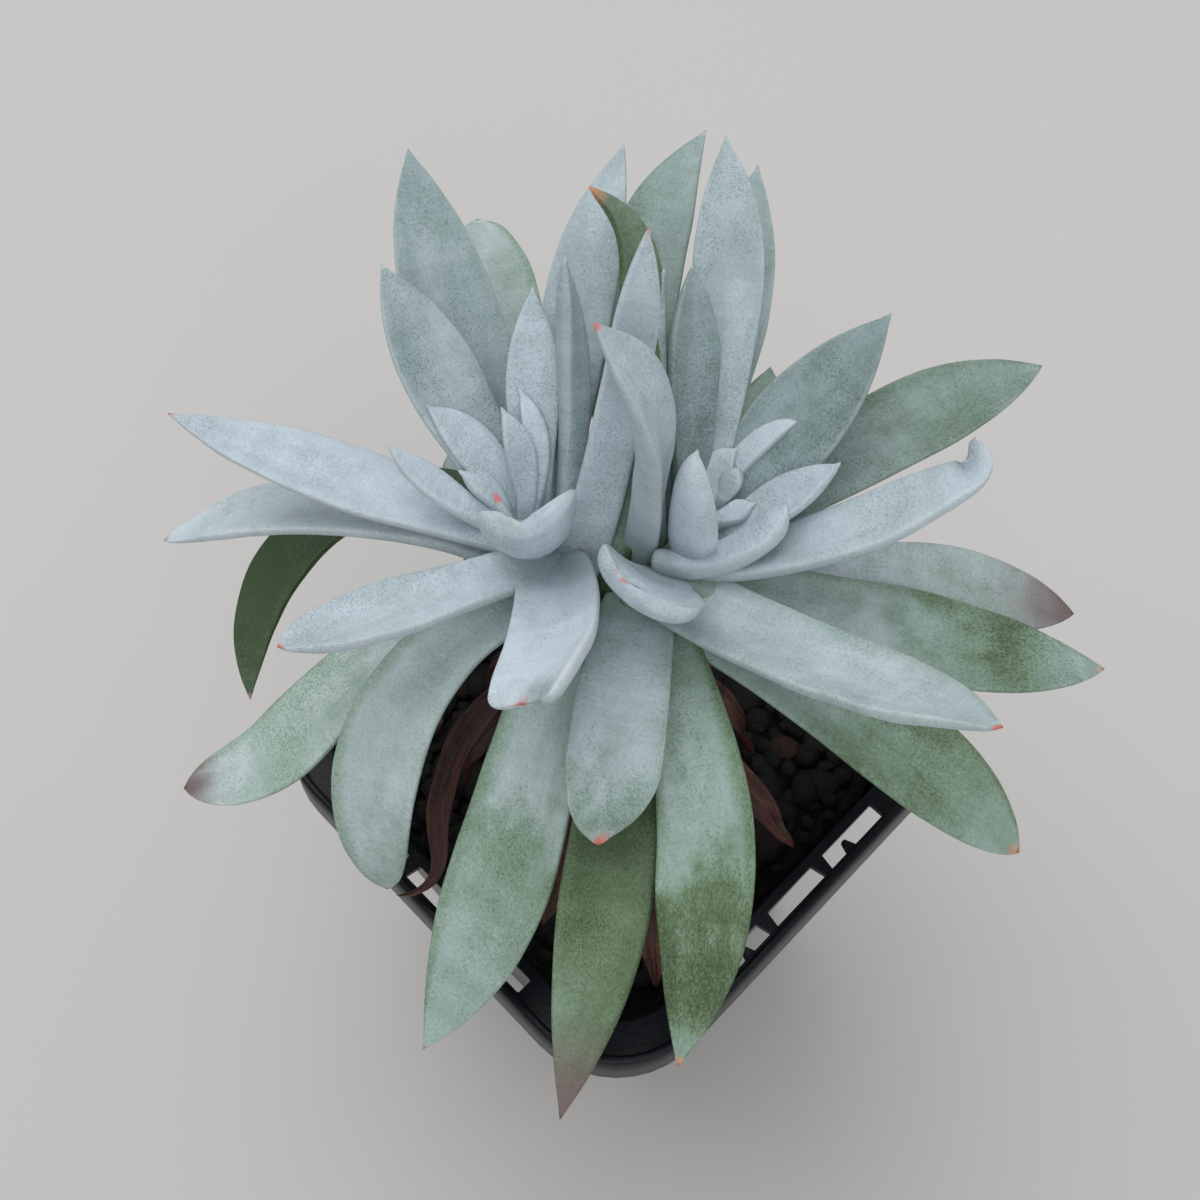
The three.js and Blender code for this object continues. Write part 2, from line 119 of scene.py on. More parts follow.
def blend(tree, amount, a, b):
    made = addNode(tree, "Mix", data_type="RGBA")
    feed(tree, made.inputs["Factor"], amount)
    feed(tree, made.inputs[6], a if isinstance(a, bpy.types.NodeSocket) else (*a, 1))
    feed(tree, made.inputs[7], b if isinstance(b, bpy.types.NodeSocket) else (*b, 1))
    return made.outputs[2]


def stretch(tree, vector, scale, shift=(0, 0, 0)):
    made = addNode(tree, "Mapping", {"Vector": vector, "Scale": scale, "Location": shift})
    return made.outputs["Vector"]


def ramp(tree, value, stops):
    made = addNode(tree, "ValToRGB", {"Fac": value})
    band = made.color_ramp
    while len(band.elements) < len(stops):
        band.elements.new(0.5)
    for element, (place, colour) in zip(band.elements, stops):
        element.position = place
        element.color = (*colour, 1)
    return made.outputs["Color"]


def newGroup(name, inputs, outputs):
    group = bpy.data.node_groups.new(name, "ShaderNodeTree")
    for label, kind, value in inputs:
        socket = group.interface.new_socket(label, in_out="INPUT", socket_type="NodeSocket" + kind)
        if value is not None:
            socket.default_value = value
    for label, kind in outputs:
        group.interface.new_socket(label, in_out="OUTPUT", socket_type="NodeSocket" + kind)
    return group, group.nodes.new("NodeGroupInput").outputs, group.nodes.new("NodeGroupOutput").inputs


# Cloudy patches with soft edges
mottle, given, out = newGroup("mottle", [
    ("Place", "Vector", None), ("Scale", "Float", 1.0), ("Detail", "Float", 4.0),
    ("Low", "Float", 0.35), ("High", "Float", 0.65),
], [("Mask", "Float")])
cloud = addNode(mottle, "TexNoise", {"Vector": given["Place"], "Scale": given["Scale"],
                                     "Detail": given["Detail"], "Roughness": 0.55})
mottle.links.new(spread(mottle, cloud.outputs["Fac"], given["Low"], given["High"]), out["Mask"])

# Small separate flecks, more of them where Amount is high
flecks, given, out = newGroup("flecks", [
    ("Place", "Vector", None), ("Scale", "Float", 1.0), ("Amount", "Float", 0.5),
], [("Mask", "Float")])
grain = addNode(flecks, "TexNoise", {"Vector": given["Place"], "Scale": given["Scale"],
                                     "Detail": 3.0, "Roughness": 0.6})
level = maths(flecks, "SUBTRACT", 0.78, maths(flecks, "MULTIPLY", given["Amount"], 0.26))
flecks.links.new(spread(flecks, grain.outputs["Fac"], level, maths(flecks, "ADD", level, 0.07)),
                 out["Mask"])


def useGroup(tree, group, **inputs):
    made = addNode(tree, "Group", node_tree=group)
    for name, value in inputs.items():
        feed(tree, made.inputs[name], value)
    return made.outputs["Mask"]


def newMaterial(name, roughness=0.6, **sockets):
    material = bpy.data.materials.new(name)
    material.use_nodes = True
    shader = material.node_tree.nodes["Principled BSDF"]
    shader.inputs["Roughness"].default_value = roughness
    for label, value in sockets.items():
        shader.inputs[label].default_value = value
    return material, material.node_tree, shader.inputs


def placeOf(tree):
    return addNode(tree, "TexCoord").outputs["Object"]


def layerOf(tree, name):
    return addNode(tree, "Attribute", attribute_name=name).outputs


def partsOf(tree, vector):
    return addNode(tree, "SeparateXYZ", {"Vector": vector}).outputs


def addBump(tree, sockets, height, distance, strength=1.0):
    made = addNode(tree, "Bump", {"Height": height, "Distance": distance, "Strength": strength})
    tree.links.new(made.outputs["Normal"], sockets["Normal"])


def floorMaterial(look):
    back, front = look["floor"], look["floorPaintedShade"]
    material, tree, sockets = newMaterial("paleFloor", 0.8)
    place = placeOf(tree)
    depth = addNode(tree, "VectorMath", {0: place, 1: (-0.7071, 0.7071, 0)}, operation="DOT_PRODUCT")
    # painted shade: the floor turns darker towards the viewer, standing in for the light that falls off
    # there
    colour = blend(tree, spread(tree, depth.outputs["Value"], *look["floorShade"]), front, back)
    patch = useGroup(tree, mottle, Place=place, Scale=9.0, Detail=5.0)
    colour = blend(tree, maths(tree, "MULTIPLY", patch, look["floorPatches"]), colour, front)
    tree.links.new(colour, sockets["Base Color"])
    return material


# Leaf flesh under powder: the thinner the powder, the more the flesh shows
leafLook = {
    "young": [(0.0, (0.06, 0.10, 0.085)), (0.25, (0.155, 0.22, 0.225)), (0.5, (0.29, 0.365, 0.395)),
              (0.75, (0.43, 0.505, 0.56)), (1.0, (0.58, 0.655, 0.725))],
    "old": [(0.0, (0.040, 0.078, 0.024)), (0.25, (0.100, 0.163, 0.080)), (0.5, (0.202, 0.302, 0.217)),
            (0.75, (0.36, 0.455, 0.42)), (1.0, (0.54, 0.62, 0.645))],
    "margin": (0.52, 0.58, 0.56),
    "grain": 4600.0,    # flecks across a metre
    "clouds": {    # stretch across, along and from leaf to leaf, shift, detail, low, high
        "patch": ((0.16, 0.09, 1), (0, 0, 0), 3, 0.3, 0.7),
        "scuff": ((0.46, 0.17, 1), (3, 0, 0), 5, 0.3, 0.7),
        "streak": ((6.5, 2.6, 1), (5, 0, 0), 3, 0.3, 0.7),
        "nick": ((0.62, 0.20, 1), (0, 0, 11), 5, 0.70, 0.77),
        "band": ((0.10, 0.42, 1), (0, 0, 4), 3, 0.3, 0.7),
        "rubbed": ((0.15, 0.09, 1), (0, 9, 0), 4, 0.30, 0.74),
    },
    "uneven": {"patch": 0.055, "scuff": 0.04, "streak": 0.012, "band": 0.03, "fine": 0.045},
    "wornEdge": 0.36,    # how much green shows along a worn margin
    "fleckDepth": 0.17,
    "nickDepth": 0.20,
    "paintedRootShade": 0.22,
    "roughness": (0.50, 0.88),    # bare flesh and full powder
    "relief": 0.00025,    # in metres
    "sides": 20,
    "stations": 27,
    "thick": 3.4,
    "thinning": 0.35,    # share of its thickness that a leaf loses towards its end
    "faces": (0.36, 0.64),    # how the thickness is shared by the upper and the lower face
    "short": 20,    # leaves shorter than this are thinner
    "shortThick": 0.8,
    "cup": 0.12,
    "full": 0.82,    # under 1 the margin is rounder
    "groove": 0.30,    # how far the middle line sinks on top, in millimetres
    "wave": 0.32,    # unevenness of the blade, in millimetres
    "sink": 5.5,    # how far the root reaches into the branch, in millimetres
    "rootWidth": 0.9,    # the sunk root against the leaf's foot
    "slimmest": 0.32,    # half the width that is left near the tip, in millimetres
    "lastStation": 0.985,
    "mucro": 0.6,    # the small point at the tip, in millimetres
    "fade": 15,    # green thins out this near the tip, in millimetres
    "spurAt": 0.93, "spurAside": 0.7, "spurThick": 1.0, "spurSides": 10,
    "spurTone": (0.7, 0.3, 0, 1), "spurTip": 0.06,
    "coreSides": 12,
    "coreRadii": [(0, 2.6), (0.5, 2.1), (0.8, 1.5), (0.95, 0.8), (1, 0.3)],
    "coreTone": (0.5, 0.1, 0, 1),
    "coreTip": (0.4, 0.45, 0.4, 0.01),
}


def leafMaterial(look):
    material, tree, sockets = newMaterial("powderyLeaf", 0.75)
    here = placeOf(tree)
    place = layerOf(tree, "leafPlace")["Vector"]
    form = partsOf(tree, layerOf(tree, "leafForm")["Vector"])
    toneAt = layerOf(tree, "leafTone")
    tone = partsOf(tree, toneAt["Vector"])
    base, tint, depth, start = tone["X"], tone["Y"], tone["Z"], toneAt["Alpha"]
    seed = partsOf(tree, place)["Z"]
    flat = addNode(tree, "VectorMath", {0: place, 1: (1, 1, 0)}, operation="MULTIPLY").outputs["Vector"]
    toTip = addNode(tree, "VectorMath", {0: flat}, operation="LENGTH").outputs["Value"]
    tip = layerOf(tree, "leafTip")
    along, across = form["X"], form["Y"]
    edge = maths(tree, "ABSOLUTE", across)

    cloud = {name: useGroup(tree, mottle, Place=stretch(tree, place, size, shift), Detail=detail,
                            Low=low, High=high)
             for name, (size, shift, detail, low, high) in look["clouds"].items()}
    cloud["fine"] = useGroup(tree, mottle, Place=here, Scale=2600.0, Detail=4.0, Low=0.25, High=0.75)
    patch, scuff, streak, nick = cloud["patch"], cloud["scuff"], cloud["streak"], cloud["nick"]
    fleck = useGroup(tree, flecks, Place=here, Scale=look["grain"],
                     Amount=spread(tree, cloud["rubbed"], 0, 1, 0.45, 0.95))

    # green shows from start on, in scuffed patches
    where = maths(tree, "SUBTRACT", maths(tree, "SUBTRACT", along, start),
                  spread(tree, patch, 0, 1, -0.08, 0.08))
    greenZone = maths(tree, "MULTIPLY", spread(tree, where, -0.15, 0.22),
                      spread(tree, scuff, 0.0, 1.0, 0.62, 1.0))
    fade = maths(tree, "DIVIDE", toTip, form["Z"])
    greenZone = maths(tree, "MULTIPLY", greenZone, spread(tree, fade, 0.15, 1, 0.15, 1))
    lean = maths(tree, "SINE", maths(tree, "MULTIPLY", seed, 1.7))
    worn = maths(tree, "ADD", edge, maths(tree, "MULTIPLY", maths(tree, "MULTIPLY", across, lean), 0.22))
    worn = maths(tree, "ADD", worn, maths(tree, "MULTIPLY", patch, 0.25))
    worn = maths(tree, "MULTIPLY", spread(tree, worn, 0.80, 1.22), tint)
    greenZone = maths(tree, "MAXIMUM", maths(tree, "MULTIPLY", greenZone, depth),
                      maths(tree, "MULTIPLY", worn, look["wornEdge"]))
    powder = maths(tree, "SUBTRACT", base, greenZone)
    for name, amount in look["uneven"].items():
        powder = maths(tree, "ADD", powder, spread(tree, cloud[name], 0, 1, -amount, amount))
    bare = maths(tree, "MULTIPLY", greenZone, spread(tree, streak, 0, 1, -0.26, 0.26))
    powder = maths(tree, "ADD", powder, bare)
    powder = maths(tree, "SUBTRACT", powder, maths(tree, "MULTIPLY", fleck, look["fleckDepth"]))
    powder = maths(tree, "SUBTRACT", powder, maths(tree, "MULTIPLY", nick, look["nickDepth"]))
    # painted shade: powder darkens towards each leaf's root, standing in for the shade where leaves crowd
    # into the branch, together with the thinner powder there
    root = spread(tree, along, 0.17, 0.0)
    root = maths(tree, "MULTIPLY", root, look["paintedRootShade"])
    powder = maths(tree, "SUBTRACT", powder, root, clamp=True)
    old = maths(tree, "ADD", tint, greenZone)
    old = maths(tree, "ADD", old, maths(tree, "MULTIPLY", nick, 0.5), clamp=True)
    colour = blend(tree, old, ramp(tree, powder, look["young"]), ramp(tree, powder, look["old"]))
    rim = maths(tree, "MULTIPLY", spread(tree, edge, 0.88, 0.99), spread(tree, tint, 0.2, 0.6, 0.28, 0))
    colour = blend(tree, rim, colour, look["margin"])

    # coloured tip
    size = maths(tree, "MULTIPLY", tip["Alpha"], 9.0)
    ragged = maths(tree, "ADD", toTip, spread(tree, scuff, 0, 1, -0.5, 0.5))
    share = maths(tree, "DIVIDE", ragged, size)
    colour = blend(tree, spread(tree, share, 1.1, 0.1, 0, 0.95), colour, tip["Color"])
    tree.links.new(colour, sockets["Base Color"])
    tree.links.new(spread(tree, powder, 0.15, 0.7, *look["roughness"]), sockets["Roughness"])
    height = maths(tree, "ADD", maths(tree, "MULTIPLY", cloud["fine"], 0.26),
                   maths(tree, "MULTIPLY", cloud["band"], 0.5))
    height = maths(tree, "ADD", height, maths(tree, "MULTIPLY", scuff, 0.25))
    height = maths(tree, "SUBTRACT", height, maths(tree, "MULTIPLY", fleck, 0.35))
    addBump(tree, sockets, height, look["relief"], 0.6)
    return material


dryLook = {
    "dark": (0.012, 0.006, 0.005),
    "brown": (0.135, 0.032, 0.019),
    "pale": (0.12, 0.068, 0.062),
    "patches": 0.4,
    "sides": 12,
    "stations": 20,
    "thick": 1.0,
    "thinning": 0.35,
    "cup": 0.3,
    "wrinkle": 0.55,
    "sink": 0.6,
    "rootWidth": 0.85,
    "lastStation": 0.985,
    "rootOut": 1.6,
    "sleeve": (82.5, 90.5),
    "sleeveThick": 1.4,
    "sleeveRough": 0.25,
    "sleeveSides": 32,
    "sleeveSteps": 16,
}


def dryMaterial(look):
    material, tree, sockets = newMaterial("witheredLeaf", 0.55)
    here = placeOf(tree)
    place = layerOf(tree, "leafPlace")["Vector"]
    streak = useGroup(tree, mottle, Place=stretch(tree, place, (1.6, 0.12, 1)), Detail=5.0, Low=0.3,
                      High=0.7)
    patch = useGroup(tree, mottle, Place=here, Scale=160.0, Detail=5.0, Low=0.42, High=0.62)
    colour = blend(tree, streak, look["dark"], look["brown"])
    colour = blend(tree, maths(tree, "MULTIPLY", patch, look["patches"]), colour, look["pale"])
    tree.links.new(colour, sockets["Base Color"])
    addBump(tree, sockets, maths(tree, "ADD", streak, maths(tree, "MULTIPLY", patch, 0.5)), 0.0004)
    return material


stemLook = {
    "dark": (0.05, 0.028, 0.018),
    "pale": (0.19, 0.125, 0.085),
    "sides": 24,
    "steps": 64,
    "inset": 0.1,
    "scars": (0.2, 1.25),    # depth in millimetres and how close they follow
    "rough": 0.12,
}


def stemMaterial(look):
    material, tree, sockets = newMaterial("woodyStem", 0.85)
    here = placeOf(tree)
    rings = useGroup(tree, mottle, Place=stretch(tree, here, (1, 1, 5)), Scale=220.0, Detail=5.0)
    colour = blend(tree, rings, look["dark"], look["pale"])
    tree.links.new(colour, sockets["Base Color"])
    addBump(tree, sockets, rings, 0.0004)
    return material


soilLook = {
    "tones": [(0.0, (0.003, 0.002, 0.002)), (0.4, (0.007, 0.005, 0.004)), (0.66, (0.015, 0.009, 0.007)),
              (0.82, (0.015, 0.014, 0.014)), (0.94, (0.055, 0.022, 0.014)), (1.0, (0.17, 0.12, 0.09))],
    "grit": (0.006, 0.005, 0.004),
    "top": 58.7,
    "inset": 1.5,
    "low": 1.8,
    "rings": 30,
    "cornerSteps": 22,
    "lump": 1.1,
    "settle": 0.9,    # how far the lumpy top lies below its height
    "stones": 560,
    "stoneSizes": (0.9, 3.1),
    "stoneLimit": 61,    # no stone stands above this height
    "stoneRough": 0.28,
    "seed": 7,    # of the stones
}


def soilMaterial(look):
    material, tree, sockets = newMaterial("pottingMix", 0.8)
    here = placeOf(tree)
    tone = layerOf(tree, "grainTone")["Fac"]
    grit = useGroup(tree, mottle, Place=here, Scale=900.0, Detail=6.0, Low=0.25, High=0.75)
    colour = ramp(tree, tone, look["tones"])
    colour = blend(tree, maths(tree, "MULTIPLY", grit, 0.5), colour, look["grit"])
    tree.links.new(colour, sockets["Base Color"])
    addBump(tree, sockets, grit, 0.0003)
    return material


potLook = {
    "body": (0.0045, 0.0055, 0.009),
    "dust": (0.042, 0.047, 0.058),
    "relief": 0.00006,    # in metres; the lengths below are in millimetres
    "height": 70,
    "baseHalf": 22, "baseRound": 6,
    "wallTopHalf": 30.9, "wallTopRound": 10.5, "wallTop": 68.8,
    "wall": 1.1, "floor": 1.4, "middle": 30,
    "bandHalf": 35, "bandTopHalf": 34.7, "bandRound": 13.5, "bandBottom": 63.4, "band": 1.0,
    "lip": 0.3,    # rounding of the rim's edges
    "shelfTop": 68.8, "shelfThick": 1.2,
    "slot": (31.1, 33.2), "slotHalf": 16.3, "cut": (60, 75),
    "bridge": 5.3, "bridgeHalf": (1.1, 0.6),
    "nub": 9.8, "nubHalf": (0.25, 0.9), "nubReach": 1.5,
    "bite": 0.2,    # how far bridges and nubs reach into the plastic
    "drain": 12.5, "drainRadii": (3, 2), "drainDepth": 4,
    "cornerSteps": 10,
    "sharp": 40,
    "edge": 0.22, "edgeFrom": 50,
}


def potMaterial(look):
    material, tree, sockets = newMaterial("blackPlastic", 0.4, **{"Specular IOR Level": 0.2})
    here = placeOf(tree)
    dust = useGroup(tree, mottle, Place=here, Scale=70.0, Detail=8.0, Low=0.45, High=0.8)
    fleck = useGroup(tree, flecks, Place=here, Scale=1500.0, Amount=0.25)
    cover = maths(tree, "ADD", maths(tree, "MULTIPLY", dust, 0.14), maths(tree, "MULTIPLY", fleck, 0.4))
    tree.links.new(blend(tree, cover, look["body"], look["dust"]), sockets["Base Color"])
    tree.links.new(spread(tree, cover, 0, 0.8, 0.33, 0.62), sockets["Roughness"])
    fine = useGroup(tree, mottle, Place=here, Scale=1400.0, Detail=3.0, Low=0.2, High=0.8)
    addBump(tree, sockets, fine, look["relief"], 0.4)
    return material


materials = {
    "leaf": leafMaterial(leafLook),
    "dry": dryMaterial(dryLook),
    "stem": stemMaterial(stemLook),
    "soil": soilMaterial(soilLook),
    "pot": potMaterial(potLook),
}
print("materials are made")


# Shapes
def heading(azimuth, climb):    # a direction from two angles in degrees
    azimuth, climb = math.radians(azimuth), math.radians(climb)
    flat = math.cos(climb)
    return Vector((flat * math.cos(azimuth), flat * math.sin(azimuth), math.sin(climb)))


layerKinds = {"turn": "int", "grainTone": "float", "leafPlace": "float_vector", "leafForm": "float_vector",
              "leafTone": "float_color", "leafTip": "float_color"}


def addLayers(bm, names):
    return {name: getattr(bm.verts.layers, layerKinds[name]).new(name) for name in names}


def growSkin(whole, sides, stations, shape, names=(), tip=None, tipValues=None):
    # extrudes a cap from station to station and may draw it together to a tip
    bm = bmesh.new()
    layers = addLayers(bm, ["turn", *names])
    start = bmesh.ops.create_circle(bm, cap_ends=True, segments=sides, radius=1)["verts"]
    for number, vert in enumerate(start):
        vert[layers["turn"]] = number
    cap = start[0].link_faces[0]
    shape(cap.verts, stations[0], layers)
    for station in stations[1:]:
        grown = bmesh.ops.extrude_face_region(bm, geom=[cap, *cap.edges])["geom"]
        cap = [item for item in grown if isinstance(item, bmesh.types.BMFace)][0]
        shape(cap.verts, station, layers)
    if tip is not None:
        bmesh.ops.pointmerge(bm, verts=cap.verts[:], merge_co=tip)
        last = min(bm.verts, key=lambda vert: (vert.co - tip).length)
        for name, value in (tipValues or {}).items():
            last[layers[name]] = value
    bmesh.ops.recalc_face_normals(bm, faces=bm.faces[:])
    joinTo(whole, bm)


def joinTo(whole, bm):
    skin = meshOf("skin", bm)
    whole.from_mesh(skin)
    bpy.data.meshes.remove(skin)


# Plant body, as the solids have it
plantLook = {
    "fork": (-1, 2, 94),
    "heads": {"left": {"foot": (-3.6, 2, 93.3), "tip": (-10, 6, 108)},
              "right": {"foot": (3.2, 2, 93.3), "tip": (10, 7, 108)}},
    "rootOut": 3.6,    # a leaf clears its branch this far from the branch's axis
    "soilTop": 59,
    "stemLean": (-1, 2),
    "stemBottom": 40.3,
    "stemTop": 93,
    "stemRadii": (3.3, 4.2),
}
tipColours = {
    "red": (0.60, 0.17, 0.14),
    "pink": (0.52, 0.33, 0.32),
    "orange": (0.56, 0.25, 0.12),
    "purple": (0.15, 0.10, 0.10),
    "pale": (0.50, 0.55, 0.52),
}


def midrib(row, origin, out):    # middle line of a leaf with its sideways and upward directions
    steps = 48
    hookAt = row.get("hookAt", 0.72)

    def aim(t):
        bend = ease((t - hookAt) / (1 - hookAt)) if t > hookAt else 0
        climb = mix(*row["el"], t ** row.get("k", 1)) + row.get("hook", 0) * bend
        return mix(*row["az"], t) + row.get("hookAz", 0) * bend, climb

    points = [Vector(origin) + heading(row["az"][0], 0) * out]
    for i in range(steps):
        points.append(points[-1] + heading(*aim((i + 0.5) / steps)) * (row["long"] / steps))

    def at(t):
        azimuth, climb = aim(t)
        along = heading(azimuth, climb)
        flatSide = heading(azimuth + 90, 0)
        flatUp = along.cross(flatSide)
        roll = math.radians(mix(*row.get("roll", (0, 0)), t))
        k = min(steps - 1, int(t * steps))
        centre = points[k].lerp(points[k + 1], t * steps - k)
        side = flatSide * math.cos(roll) + flatUp * math.sin(roll)
        up = flatUp * math.cos(roll) - flatSide * math.sin(roll)
        return centre, along, side, up

    return at


def halfWidth(row, t):
    wide = row.get("wide", 0.58)
    if t < wide:
        return row["across"] / 2 * mix(row.get("base", 0.62), 1, ease(t / wide))
    past = min(1, (t - wide) / (1 - wide))
    return row["across"] / 2 * (1 - past ** row.get("p", 2)) ** row.get("q", 0.95)


